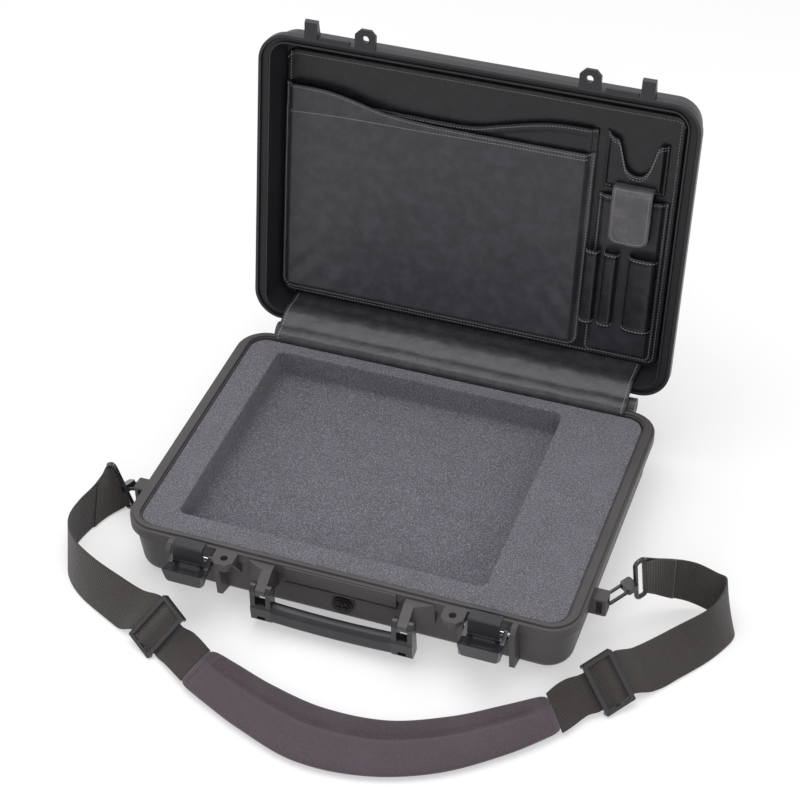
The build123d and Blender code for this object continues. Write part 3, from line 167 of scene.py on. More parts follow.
class Shader:
    """One material under construction, ending in a Principled shader."""

    def __init__(self, name: str) -> None:
        """Start an empty material.

        Args:
            name: the material's name.
        """
        self.material = bpy.data.materials.new(name)
        self.material.use_nodes = True
        self.tree = self.material.node_tree
        self.tree.nodes.clear()
        self.surface = self.tree.nodes.new("ShaderNodeBsdfPrincipled")
        output = self.tree.nodes.new("ShaderNodeOutputMaterial")
        self.tree.links.new(self.surface.outputs[0], output.inputs["Surface"])

    def node(
        self,
        kind: str,
        settings: dict[str, Any] | None = None,
        inputs: dict[str | int, Any] | None = None,
        output: str | int = 0,
    ) -> Value:
        """Add any node.

        Args:
            kind: the node's type name.
            settings: its properties, set first.
            inputs: values or links of its sockets, by name or number.
            output: the socket that is returned.

        Returns:
            The chosen output.
        """
        node = self.tree.nodes.new(kind)
        for key, value in (settings or {}).items():
            setattr(node, key, value)
        for key, value in (inputs or {}).items():
            if isinstance(value, Value):
                self.tree.links.new(value.socket, node.inputs[key])
            else:
                node.inputs[key].default_value = value
        return Value(self.tree, node.outputs[output])

    def place(self) -> Value:
        """Object coordinates, in metres."""
        return self.node("ShaderNodeTexCoord", output="Object")

    def uv(self) -> tuple[Value, Value]:
        """The piece's own map: metres along it and across it."""
        source = self.node("ShaderNodeTexCoord", output="UV")
        split = self.node("ShaderNodeSeparateXYZ", inputs={0: source})
        return split, Value(self.tree, split.socket.node.outputs[1])

    def noise(self, where: Value, scale: float, detail: float = 2.0, rough: float = 0.5) -> Value:
        """Noise from 0 to 1.

        Args:
            where: the coordinates.
            scale: features per metre.
            detail: octaves.
            rough: weight of the finer octaves.

        Returns:
            The noise value.
        """
        inputs = {"Vector": where, "Scale": scale, "Detail": detail, "Roughness": rough}
        return self.node("ShaderNodeTexNoise", inputs=inputs)

    def cells(self, where: Value, scale: float, feature: str = "F1") -> Value:
        """Distance within Voronoi cells.

        Args:
            where: the coordinates.
            scale: cells per metre.
            feature: the Voronoi feature.

        Returns:
            The distance value.
        """
        inputs = {"Vector": where, "Scale": scale}
        return self.node("ShaderNodeTexVoronoi", {"feature": feature}, inputs)

    def mix(self, factor: Value | float, low: Any, high: Any) -> Value:
        """Mix two colours.

        Args:
            factor: 0 gives low and 1 gives high.
            low: a colour or a link.
            high: a colour or a link.

        Returns:
            The mixed colour.
        """
        fill = [value if isinstance(value, Value) else (*value, 1.0) for value in (low, high)]
        return self.node(
            "ShaderNodeMix", {"data_type": "RGBA"}, {0: factor, 6: fill[0], 7: fill[1]}, output=2
        )

    def relief(self, height: Value, depth: float) -> None:
        """Lay a bump over the whole surface.

        Args:
            height: from 0 to 1.
            depth: metres from 0 to 1.
        """
        bump = self.node(
            "ShaderNodeBump", inputs={"Height": height, "Distance": depth, "Strength": 1.0}
        )
        self.tree.links.new(bump.socket, self.surface.inputs["Normal"])

    def set(self, **sockets: Any) -> None:
        """Set sockets of the Principled shader; an underscore stands for a space."""
        for key, value in sockets.items():
            socket = self.surface.inputs[key.replace("_", " ")]
            if isinstance(value, Value):
                self.tree.links.new(value.socket, socket)
            elif isinstance(value, tuple):
                socket.default_value = (*value, 1.0)
            else:
                socket.default_value = value


@dataclass(frozen=True)
class Finish:
    """A named surface finish; each kind says how its material is built."""

    name: str
    colour: Colour

    def build(self, shader: Shader) -> None:
        """Dress the shader.

        Args:
            shader: the material to fill in.
        """
        raise NotImplementedError

    def material(self) -> bpy.types.Material:
        """The finish's material, made once.

        Returns:
            The material.
        """
        found = bpy.data.materials.get(f"finish_{self.name}")
        if found:
            return found
        shader = Shader(f"finish_{self.name}")
        self.build(shader)
        return shader.material

    def lighter(self, times: float) -> Colour:
        """The colour brought up or down.

        Args:
            times: factor on each channel.

        Returns:
            The new colour.
        """
        return tuple(min(1.0, channel * times) for channel in self.colour)


@dataclass(frozen=True)
class MouldedPlastic(Finish):
    """Moulded plastic with a fine pebbled texture, scuffed a little."""

    roughness: float = 0.5
    grain: float = 0.0011
    depth: float = 0.00007
    coat: float = 0.0
    shine: float = 0.3
    speckle_scale: float = 2600.0
    drift_scale: float = 9.0
    scuff_scale: float = 120.0

    def build(self, shader: Shader) -> None:
        """Pebbled bump, slow colour drift, and faint scuffs."""
        where = shader.place()
        pebbles = shader.cells(where, 1.0 / self.grain, "SMOOTH_F1")
        fine = shader.noise(where, self.speckle_scale, 2.0)
        drift = shader.noise(where, self.drift_scale, 3.0, 0.6)
        scuff = shader.noise(where, self.scuff_scale, 4.0, 0.65).band(0.62, 0.78)
        scuff = scuff * drift.band(0.45, 0.7)
        tone = shader.mix(drift.band(0.3, 0.7), self.lighter(0.88), self.lighter(1.12))
        tone = shader.mix(scuff * 0.35, tone, self.lighter(1.9))
        speckle = fine.band(0.55, 0.75) * 0.25
        shader.set(
            Base_Color=shader.mix(speckle, tone, self.lighter(1.35)),
            Roughness=self.roughness + (drift - 0.5) * 0.12 + scuff * 0.08,
            Specular_IOR_Level=self.shine,
            Coat_Weight=self.coat,
            Coat_Roughness=0.25,
        )
        shader.relief(pebbles * 0.75 + fine * 0.25, self.depth)


@dataclass(frozen=True)
class Rubber(Finish):
    """Soft rubber with a dusty bloom."""

    roughness: float = 0.42
    bloom_scale: float = 35.0
    fine_scale: float = 1500.0
    depth: float = 0.00004

    def build(self, shader: Shader) -> None:
        """Fine bump and bloom."""
        where = shader.place()
        bloom = shader.noise(where, self.bloom_scale, 4.0, 0.6)
        fine = shader.noise(where, self.fine_scale, 2.0)
        shader.set(
            Base_Color=shader.mix(bloom.band(0.35, 0.75), self.lighter(0.9), self.lighter(1.15)),
            Roughness=self.roughness + (bloom - 0.5) * 0.14,
            Specular_IOR_Level=0.3,
        )
        shader.relief(fine, self.depth)


@dataclass(frozen=True)
class Metal(Finish):
    """Plain or blackened metal with a fine turned surface."""

    roughness: float = 0.25
    metallic: float = 1.0
    coat: float = 0.0
    smear_scale: float = 160.0
    fine_scale: float = 2200.0
    depth: float = 0.00002

    def build(self, shader: Shader) -> None:
        """Faint smears and a fine bump."""
        where = shader.place()
        smear = shader.noise(where, self.smear_scale, 4.0, 0.6)
        fine = shader.noise(where, self.fine_scale, 2.0)
        shader.set(
            Base_Color=shader.mix(smear.band(0.3, 0.8), self.lighter(0.85), self.lighter(1.1)),
            Roughness=self.roughness + (smear - 0.5) * 0.16,
            Metallic=self.metallic,
            Coat_Weight=self.coat,
            Coat_Roughness=0.15,
        )
        shader.relief(fine, self.depth)


@dataclass(frozen=True)
class CellFoam(Finish):
    """Open-cell foam, speckled where its cut cells catch the light."""

    cell: float = 0.0021
    blotch_scale: float = 30.0
    depth: float = 0.0004

    def build(self, shader: Shader) -> None:
        """Cells, speckle and soft blotches."""
        where = shader.place()
        pores = shader.cells(where, 1.0 / self.cell)
        fine = shader.noise(where, 1.5 / self.cell, 3.0, 0.75)
        blotch = shader.noise(where, self.blotch_scale, 3.0)
        dark = shader.mix(blotch.band(0.3, 0.7), self.lighter(0.86), self.lighter(1.02))
        speckled = shader.mix(fine.band(0.46, 0.64), dark, self.lighter(2.3))
        # Painted shade in the pores: the middle of each cell is darkened, down to 0.4 of the colour.
        shader.set(
            Base_Color=shader.mix(pores.band(0.5, 0.2) * 0.5, speckled, self.lighter(0.4)),
            Roughness=0.95,
            Specular_IOR_Level=0.2,
            Sheen_Weight=0.15,
        )
        shader.relief(pores * 0.6 + fine * 0.6, self.depth)


@dataclass(frozen=True)
class Leatherette(Finish):
    """Glossy coated cloth with a fine grain and soft creases."""

    roughness: float = 0.32
    grain: float = 0.0012
    shine: float = 0.35
    crease_scale: float = 26.0
    mark_scale: float = 70.0
    depth: float = 0.0009

    def build(self, shader: Shader) -> None:
        """Grain, pores, creases and handling marks."""
        where = shader.place()
        grain = shader.cells(where, 1.0 / self.grain, "DISTANCE_TO_EDGE").band(0.0, 0.25)
        crease = shader.noise(where, self.crease_scale, 4.0, 0.55)
        mark = shader.noise(where, self.mark_scale, 3.0, 0.6)
        shader.set(
            Base_Color=shader.mix(mark.band(0.35, 0.75), self.lighter(0.85), self.lighter(1.25)),
            Roughness=self.roughness + (mark - 0.5) * 0.16 - grain * 0.03,
            Specular_IOR_Level=self.shine,
            Coat_Weight=0.12,
            Coat_Roughness=0.3,
        )
        shader.relief(grain * 0.06 + crease, self.depth)


@dataclass(frozen=True)
class RibbedWebbing(Finish):
    """Ribbed nylon webbing: ribs across the strap, yarns along it."""

    rib: float = 0.0024
    yarn: float = 0.0022
    drift_scale: float = 90.0
    depth: float = 0.0007

    def build(self, shader: Shader) -> None:
        """Ribs and yarns from the strap's own map."""
        along, across = shader.uv()
        waver = (across * (TURN / self.yarn)).sine() * 0.35
        ribs = abs((along * (TURN / self.rib / 2.0) + waver).sine())
        yarns = (across * (TURN / self.yarn * 2.0)).sine() * 0.5 + 0.5
        cloth = ribs * 0.75 + yarns * 0.25
        drift = shader.noise(shader.place(), self.drift_scale, 3.0, 0.6)
        # Painted shade and highlight: the valleys between ribs are painted very dark and the rib crests
        # light.
        tone = shader.mix(cloth.band(0.25, 0.7), self.lighter(0.12), self.lighter(1.95))
        shader.set(
            Base_Color=shader.mix(drift.band(0.4, 0.75) * 0.35, tone, self.lighter(1.7)),
            Roughness=0.62,
            Specular_IOR_Level=0.25,
            Sheen_Weight=0.25,
            Sheen_Roughness=0.4,
        )
        shader.relief(cloth, self.depth)


@dataclass(frozen=True)
class PadCloth(Finish):
    """Fine woven pad cover; its upper panel is painted a little darker than the lower, as shade beyond
    the fold of the long seam.
    """

    weave: float = 0.0009
    seam: float = 0.0
    rub_scale: float = 14.0
    fluff_scale: float = 700.0
    depth: float = 0.0006

    def build(self, shader: Shader) -> None:
        """Weave and panels from the pad's own map, with rubbed patches."""
        along, across = shader.uv()
        warp = (along * (TURN / self.weave)).sine()
        weft = (across * (TURN / self.weave)).sine()
        cloth = warp * weft * 0.5 + 0.5
        rub = shader.noise(shader.place(), self.rub_scale, 4.0, 0.6)
        # Painted shade beyond the seam's fold: the upper panel is darkened to 0.72 of the colour and
        # the lower lightened to 1.08.
        panel = across.band(self.seam - 0.001, self.seam + 0.002)
        fluff = shader.noise(shader.place(), self.fluff_scale, 3.0, 0.7)
        tone = shader.mix(panel, self.lighter(1.08), self.lighter(0.72))
        tone = shader.mix(cloth * 0.5, tone, self.lighter(0.62))
        tone = shader.mix(fluff.band(0.5, 0.7) * 0.5, tone, self.lighter(2.0))
        shader.set(
            Base_Color=shader.mix(rub.band(0.45, 0.75) * 0.35, tone, self.lighter(1.45)),
            Roughness=0.82,
            Specular_IOR_Level=0.2,
            Sheen_Weight=0.2,
            Sheen_Roughness=0.5,
        )
        shader.relief(cloth * 0.3 + fluff * 0.5 + rub * 0.8, self.depth)


@dataclass(frozen=True)
class Thread(Finish):
    """Sewing thread."""

    twist_scale: float = 3000.0
    depth: float = 0.00005

    def build(self, shader: Shader) -> None:
        """Twist lines and a soft sheen."""
        twist = shader.noise(shader.place(), self.twist_scale, 2.0)
        shader.set(
            Base_Color=shader.mix(twist, self.lighter(0.7), self.lighter(1.4)),
            Roughness=0.6,
            Sheen_Weight=0.2,
        )
        shader.relief(twist, self.depth)


class Finishes(Enum):
    """Every finish on the case."""

    CASE = MouldedPlastic("case_plastic", (0.058, 0.053, 0.053), roughness=0.46, shine=0.4)
    # Darker copy of the case plastic for the lid shell: painted shade for the lid's walls, which stand
    # in shadow.
    LID = MouldedPlastic("shaded_lid_plastic", (0.018, 0.017, 0.02), roughness=0.36, shine=0.4)
    LATCH = MouldedPlastic(
        "latch_plastic", (0.02, 0.02, 0.024), roughness=0.28, depth=0.00003, coat=0.4
    )
    HANDLE = MouldedPlastic(
        "handle_plastic", (0.022, 0.021, 0.024), roughness=0.3, depth=0.00003, coat=0.3
    )
    VALVE = MouldedPlastic("valve_plastic", (0.014, 0.014, 0.016), roughness=0.35, depth=0.00003)
    SLIDER = MouldedPlastic(
        "slider_plastic", (0.028, 0.027, 0.03), roughness=0.3, depth=0.00002, coat=0.4
    )
    GRIP = Rubber("grip_rubber", (0.026, 0.025, 0.029), roughness=0.3)
    SEAL = Rubber("seal_rubber", (0.012, 0.012, 0.014), roughness=0.45)
    STEEL = Metal("pin_steel", (0.66, 0.66, 0.68), roughness=0.22)
    BLACK_METAL = Metal("black_metal", (0.014, 0.014, 0.017), roughness=0.28, metallic=0.2, coat=0.4)
    GATE = Metal("gate_steel", (0.09, 0.09, 0.1), roughness=0.25, metallic=0.9)
    FOAM = CellFoam("cell_foam", (0.094, 0.091, 0.104))
    LEATHERETTE = Leatherette("leatherette", (0.01, 0.0095, 0.012), roughness=0.28)
    # Lighter copy of the black leatherette for the document pocket: painted reflection over its glossy
    # face.
    LIT_POCKET = Leatherette("lit_pocket_leatherette", (0.036, 0.036, 0.043), roughness=0.36)
    # Lighter copy of the black leatherette for the column panel: painted light, for the extra light it
    # catches at its angle.
    COLUMN = Leatherette("lit_column_leatherette", (0.02, 0.02, 0.026))
    WEBBING = RibbedWebbing("ribbed_webbing", (0.027, 0.023, 0.022))
    PAD = PadCloth("pad_cloth", (0.072, 0.054, 0.066), seam=0.008)
    THREAD = Thread("thread", (0.2, 0.2, 0.215))
    PAD_THREAD = Thread("pad_thread", (0.05, 0.04, 0.047))
    # Much lighter copy of the black leatherette for the pouch flap: painted highlight over the whole
    # flap.
    LIT_FLAP = Leatherette("lit_flap_leatherette", (0.078, 0.075, 0.083), roughness=0.26)
    COVER = Leatherette("cover_leatherette", (0.034, 0.034, 0.039), roughness=0.28)
    PATCH = Rubber("hook_and_loop", (0.02, 0.02, 0.022), roughness=0.9)
    MEMBRANE = Rubber("vent_membrane", (0.6, 0.6, 0.58), roughness=0.7)


# --- Mesh building ---------------------------------------------------------------------------

HINGE = Vector((0.0, 0.192, 0.0643))
LID_ANGLE = math.radians(-99.7)
STAND_UP = Matrix.Translation(HINGE) @ Matrix.Rotation(LID_ANGLE, 4, "X") @ Matrix.Translation(-HINGE)


def lid_place(x: float, y: float, z: float) -> Vector:
    """Where a point of the closed lid, in millimetres, stands in the open one."""
    return STAND_UP @ (Vector((x, y, z)) * MM)


def lid_way(x: float, y: float, z: float) -> Vector:
    """A direction of the closed lid, as it points in the open one."""
    return (lid_place(x, y, z) - lid_place(0.0, 0.0, 0.0)).normalized()


INTO_LID = lid_way(0.0, 0.0, 1.0)
SEAM_LIFT = 0.15
SEAM_PACE = 2.0


def step_up(low: float, high: float, at: float) -> float:
    """Smooth step from 0 at low to 1 at high."""
    part = min(1.0, max(0.0, (at - low) / (high - low)))
    return part * part * (3.0 - 2.0 * part)


def round_over(distance: float, reach: float) -> float:
    """Quarter-round profile: 0 on an edge and 1 from its reach inwards."""
    part = min(1.0, max(0.0, distance / reach))
    return math.sqrt(max(0.0, 1.0 - (1.0 - part) ** 2))


def ripple(x: float, y: float, z: float, scale: float) -> float:
    """Smooth noise from -1 to 1 at a point given in millimetres."""
    return noise.noise(Vector((x, y, z)) * scale)


def new_piece(
    name: str,
    points: Sequence[Vector],
    faces: Sequence[Sequence[int]],
    finish: Finishes,
    maps: Sequence[Pair] | None = None,
) -> bpy.types.Object:
    """Make a smooth mesh piece with its place in its points.

    Args:
        name: the piece's name.
        points: its corners, in metres.
        faces: corner numbers of each face.
        finish: its finish.
        maps: one map position for each corner, in metres, where the finish needs it.

    Returns:
        The new object.
    """
    mesh = bpy.data.meshes.new(name)
    mesh.from_pydata([tuple(point) for point in points], [], [tuple(face) for face in faces])
    if maps is not None:
        layer = mesh.uv_layers.new(name="run")
        for loop in mesh.loops:
            layer.data[loop.index].uv = maps[loop.vertex_index]
    mesh.materials.append(finish.value.material())
    piece = bpy.data.objects.new(name, mesh)
    bpy.context.scene.collection.objects.link(piece)
    face_outwards(piece)
    for polygon in mesh.polygons:
        polygon.use_smooth = True
    return piece


def face_outwards(piece: bpy.types.Object) -> None:
    """Turn a closed piece's faces outwards."""
    shape = bmesh.new()
    shape.from_mesh(piece.data)
    bmesh.ops.recalc_face_normals(shape, faces=shape.faces)
    shape.to_mesh(piece.data)
    shape.free()


def settle(piece: bpy.types.Object) -> bpy.types.Object:
    """Turn a piece's modifiers into plain mesh.

    Args:
        piece: the piece, changed in place.

    Returns:
        The same piece.
    """
    bpy.context.view_layer.update()
    graph = bpy.context.evaluated_depsgraph_get()
    mesh = bpy.data.meshes.new_from_object(piece.evaluated_get(graph))
    mesh.name = piece.name
    piece.modifiers.clear()
    piece.data = mesh
    return piece


def ring_solid(
    name: str,
    rings: Sequence[Sequence[Vector]],
    finish: Finishes,
    maps: Sequence[Sequence[Pair]] | None = None,
) -> bpy.types.Object:
    """Skin rings of equal count into a closed piece with flat ends.

    Args:
        name: the piece's name.
        rings: closed rings of points, in order.
        finish: its finish.
        maps: map positions for each ring's points.

    Returns:
        The new object.
    """
    count = len(rings[0])
    points = [point for ring in rings for point in ring]
    faces: list[tuple[int, ...]] = []
    for row in range(len(rings) - 1):
        for column in range(count):
            near, far = row * count, (row + 1) * count
            after = (column + 1) % count
            faces.append((near + column, near + after, far + after, far + column))
    flat_maps = [spot for ring in maps for spot in ring] if maps else None
    for row in (0, len(rings) - 1):
        centre = sum(rings[row], Vector()) / count
        points.append(centre)
        hub = len(points) - 1
        if flat_maps is not None:
            spots = maps[row]
            flat_maps.append((sum(s[0] for s in spots) / count, sum(s[1] for s in spots) / count))
        for column in range(count):
            faces.append((row * count + column, row * count + (column + 1) % count, hub))
    return new_piece(name, points, faces, finish, flat_maps)


def slab_piece(
    name: str,
    columns: int,
    rows: int,
    surface: Callable[[float, float], tuple[Vector, Vector]],
    thickness: float,
    finish: Finishes,
) -> bpy.types.Object:
    """Closed sheet whose front face follows a surface.

    Args:
        name: the piece's name.
        columns: faces across.
        rows: faces down.
        surface: gives a point and its inward direction from two fractions.
        thickness: of the sheet, in metres.
        finish: its finish.

    Returns:
        The new object.
    """
    front: list[Vector] = []
    back: list[Vector] = []
    for row in range(rows + 1):
        for column in range(columns + 1):
            point, inward = surface(column / columns, row / rows)
            front.append(point)
            back.append(point + inward * thickness)
    points = front + back
    step = columns + 1
    shift = len(front)
    faces: list[tuple[int, ...]] = []
    for row in range(rows):
        for column in range(columns):
            a = row * step + column
            faces.append((a, a + 1, a + 1 + step, a + step))
            faces.append((shift + a, shift + a + step, shift + a + 1 + step, shift + a + 1))
    edge = [column for column in range(step)]
    edge += [row * step + columns for row in range(1, rows + 1)]
    edge += [rows * step + column for column in range(columns - 1, -1, -1)]
    edge += [row * step for row in range(rows - 1, 0, -1)]
    for index, a in enumerate(edge):
        b = edge[(index + 1) % len(edge)]
        faces.append((a, shift + a, shift + b, b))
    return new_piece(name, points, faces, finish)


def running(points: Sequence[Vector]) -> list[float]:
    """Distance along a line of points, at each of them."""
    run = [0.0]
    for before, after in zip(points, points[1:]):
        run.append(run[-1] + (after - before).length)
    return run


def sample_at(run: Sequence[float], distance: float) -> int:
    """Number of the last sample that lies at or before a distance."""
    return max(index for index, along in enumerate(run) if along <= distance)


def paced(route: Sequence[Pair], pace: float) -> list[Pair]:
    """Points along a route of straight runs, without its last point.

    Args:
        route: the corners.
        pace: the least distance between points.

    Returns:
        The points.
    """
    spots = []
    for (ax, ay), (bx, by) in zip(route, route[1:]):
        count = max(1, int(math.hypot(bx - ax, by - ay) / pace))
        for index in range(count):
            share = index / count
            spots.append((ax + (bx - ax) * share, ay + (by - ay) * share))
    return spots


def through(points: Sequence[Vector], knots: Sequence[float], at: float) -> Vector:
    """Smooth curve through points.

    Args:
        points: the points.
        knots: the distance along the curve of each.
        at: the distance that is asked for.

    Returns:
        The point there.
    """
    last = len(points) - 1
    index = 0
    while index < last - 1 and at > knots[index + 1]:
        index += 1
    span = knots[index + 1] - knots[index]
    part = (at - knots[index]) / span

    def slope(k: int) -> Vector:
        """Direction of travel at a point."""
        a, b = max(k - 1, 0), min(k + 1, last)
        return (points[b] - points[a]) / (knots[b] - knots[a])

    p2, p3 = part * part, part**3
    return (
        points[index] * (2 * p3 - 3 * p2 + 1)
        + slope(index) * (span * (p3 - 2 * p2 + part))
        + points[index + 1] * (3 * p2 - 2 * p3)
        + slope(index + 1) * (span * (p3 - p2))
    )


@dataclass
class Ribbon:
    """A run of flat strap: middle points, directions across it and outward, and distances."""

    middles: list[Vector]
    across: list[Vector]
    outward: list[Vector]
    widths: list[float]

    @classmethod
    def along(
        cls, stations: Sequence[tuple[Point, Point]], outer: float, step: float = 2.0
    ) -> "Ribbon":
        """Lay a ribbon through stations.

        Args:
            stations: lower and upper edge points, in millimetres.
            outer: 1 or -1, the side that faces outward.
            step: distance between samples, in millimetres.

        Returns:
            The ribbon, in metres.
        """
        lows = [Vector(low) * MM for low, _ in stations]
        highs = [Vector(high) * MM for _, high in stations]
        knots = [0.0]
        for index in range(1, len(lows)):
            travel = (lows[index] + highs[index] - lows[index - 1] - highs[index - 1]) / 2
            knots.append(knots[-1] + travel.length)
        count = max(2, int(knots[-1] / (step * MM)))
        pairs = []
        for index in range(count + 1):
            at = knots[-1] * index / count
            pairs.append((through(lows, knots, at), through(highs, knots, at)))
        middles = [(low + high) / 2 for low, high in pairs]
        across = [(high - low).normalized() for low, high in pairs]
        widths = [(high - low).length for low, high in pairs]
        outward = []
        for index, side in enumerate(across):
            heading = middles[min(index + 1, count)] - middles[max(index - 1, 0)]
            outward.append(side.cross(heading).normalized() * outer)
        return cls(middles, across, outward, widths)

    def distances(self) -> list[float]:
        """Distance along the ribbon of each sample, in metres."""
        return running(self.middles)

    def spot(self, index: int, side: float, out: float = 0.0) -> Vector:
        """A point beside a sample.

        Args:
            index: the sample's number.
            side: distance across from the middle, in metres.
            out: distance outward, in metres.

        Returns:
            The point.
        """
        return self.middles[index] + self.across[index] * side + self.outward[index] * out

    def shifted(
        self, start: int, end: int, out: Callable[[float], float], side: float = 0.0
    ) -> "Ribbon":
        """Part of the ribbon moved off itself.

        Args:
            start: first sample.
            end: last sample.
            out: outward distance from the distance along the part.
            side: distance across at its end, reached gradually.

        Returns:
            The new ribbon.
        """
        run = self.distances()
        span = abs(run[end] - run[start]) or 1.0
        order = range(start, end + 1) if end > start else range(start, end - 1, -1)
        middles = []
        for index in order:
            along = abs(run[index] - run[start])
            middles.append(self.spot(index, side * along / span, out(along)))
        return Ribbon(
            middles,
            [self.across[index] for index in order],
            [self.outward[index] for index in order],
            [self.widths[index] for index in order],
        )

    def strap(self, name: str, width: float, thickness: float, finish: Finishes) -> bpy.types.Object:
        """Webbing along the ribbon, with rounded selvedges.

        Args:
            name: the piece's name.
            width: in metres.
            thickness: in metres.
            finish: its finish.

        Returns:
            The new object.
        """
        half, edge = width / 2, thickness / 2
        shares = (-1.0, -0.9, -0.6, -0.3, 0.0, 0.3, 0.6, 0.9, 1.0)
        section = [(share * half * 0.98, edge) for share in shares]
        section += [(half, edge * 0.5), (half, -edge * 0.5)]
        section += [(-side, -out) for side, out in section[: len(shares)]]
        section += [(-half, -edge * 0.5), (-half, edge * 0.5)]
        rings, maps = [], []
        for index, distance in enumerate(self.distances()):
            rings.append([self.spot(index, side, out) for side, out in section])
            maps.append([(distance, side) for side, _ in section])
        return ring_solid(name, rings, finish, maps)


def rounded_loop(low: Pair, high: Pair, radius: float, per_side: int, per_corner: int) -> list[Pair]:
    """Points round a rounded rectangle, the same count for every size.

    Args:
        low: lowest x and y.
        high: highest x and y.
        radius: of the corners.
        per_side: points on each side.
        per_corner: points on each corner.

    Returns:
        The points, anticlockwise from the lower left corner's end.
    """
    corners = (
        (low[0] + radius, low[1] + radius, 180.0),
        (high[0] - radius, low[1] + radius, 270.0),
        (high[0] - radius, high[1] - radius, 0.0),
        (low[0] + radius, high[1] - radius, 90.0),
    )
    turns = []
    for x, y, start in corners:
        arc = []
        for index in range(per_corner):
            angle = math.radians(start + 90.0 * index / (per_corner - 1))
            arc.append((x + radius * math.cos(angle), y + radius * math.sin(angle)))
        turns.append(arc)
    loop: list[Pair] = []
    for index, arc in enumerate(turns):
        loop += arc
        here, there = arc[-1], turns[(index + 1) % 4][0]
        for part in range(1, per_side + 1):
            share = part / (per_side + 1)
            x, y = (a + (b - a) * share for a, b in zip(here, there))
            loop.append((x, y))
    return loop


class StitchTree:
    """Node tree that sets stitches along lines at a fixed pitch."""

    def __init__(self) -> None:
        """Build the tree once."""
        tree = bpy.data.node_groups.new("stitch_line", "GeometryNodeTree")
        face = tree.interface
        face.new_socket("Lines", in_out="INPUT", socket_type="NodeSocketGeometry")
        self.names: dict[str, str] = {}
        for name, kind, value in (
            ("Pitch", "NodeSocketFloat", 0.0036),
            ("Length", "NodeSocketFloat", 0.0027),
            ("Radius", "NodeSocketFloat", 0.0006),
            ("Material", "NodeSocketMaterial", None),
        ):
            socket = face.new_socket(name, in_out="INPUT", socket_type=kind)
            if value is not None:
                socket.default_value = value
            self.names[name] = socket.identifier
        face.new_socket("Stitches", in_out="OUTPUT", socket_type="NodeSocketGeometry")
        make = tree.nodes.new
        link = tree.links.new
        start, end = make("NodeGroupInput"), make("NodeGroupOutput")
        curve = make("GeometryNodeMeshToCurve")
        spread = make("GeometryNodeCurveToPoints")
        spread.mode = "LENGTH"
        aim = make("FunctionNodeAlignRotationToVector")
        aim.axis = "Z"
        bead = make("GeometryNodeMeshUVSphere")
        bead.inputs["Segments"].default_value = 6
        bead.inputs["Rings"].default_value = 5
        bead.inputs["Radius"].default_value = 1.0
        size = make("ShaderNodeCombineXYZ")
        half = make("ShaderNodeMath")
        half.operation = "MULTIPLY"
        half.inputs[1].default_value = 0.5
        shape = make("GeometryNodeTransform")
        place = make("GeometryNodeInstanceOnPoints")
        real = make("GeometryNodeRealizeInstances")
        smooth = make("GeometryNodeSetShadeSmooth")
        paint = make("GeometryNodeSetMaterial")
        link(start.outputs["Lines"], curve.inputs["Mesh"])
        link(curve.outputs["Curve"], spread.inputs["Curve"])
        link(start.outputs["Pitch"], spread.inputs["Length"])
        link(spread.outputs["Tangent"], aim.inputs["Vector"])
        link(start.outputs["Length"], half.inputs[0])
        link(start.outputs["Radius"], size.inputs["X"])
        link(start.outputs["Radius"], size.inputs["Y"])
        link(half.outputs[0], size.inputs["Z"])
        link(bead.outputs["Mesh"], shape.inputs["Geometry"])
        link(size.outputs[0], shape.inputs["Scale"])
        link(spread.outputs["Points"], place.inputs["Points"])
        link(shape.outputs["Geometry"], place.inputs["Instance"])
        link(aim.outputs["Rotation"], place.inputs["Rotation"])
        link(place.outputs["Instances"], real.inputs["Geometry"])
        link(real.outputs["Geometry"], smooth.inputs["Geometry"])
        link(smooth.outputs["Geometry"], paint.inputs["Geometry"])
        link(start.outputs["Material"], paint.inputs["Material"])
        link(paint.outputs["Geometry"], end.inputs["Stitches"])
        self.tree = tree

    def sew(
        self,
        name: str,
        lines: Iterable[Sequence[Vector]],
        finish: Finishes = Finishes.THREAD,
        pitch: float = 0.0036,
    ) -> bpy.types.Object:
        """Sew along lines.

        Args:
            name: the new piece's name.
            lines: runs of points.
            finish: the thread.
            pitch: distance from stitch to stitch.

        Returns:
            The stitches as one plain mesh.
        """
        points: list[Vector] = []
        edges: list[tuple[int, int]] = []
        for line in lines:
            start = len(points)
            points += line
            edges += [(start + index, start + index + 1) for index in range(len(line) - 1)]
        mesh = bpy.data.meshes.new(name)
        mesh.from_pydata([tuple(point) for point in points], edges, [])
        piece = bpy.data.objects.new(name, mesh)
        bpy.context.scene.collection.objects.link(piece)
        sewing = piece.modifiers.new("stitches", "NODES")
        sewing.node_group = self.tree
        sewing[self.names["Pitch"]] = pitch
        sewing[self.names["Length"]] = pitch * 0.74
        sewing[self.names["Material"]] = finish.value.material()
        return settle(piece)


# --- Case and fittings -----------------------------------------------------------------------


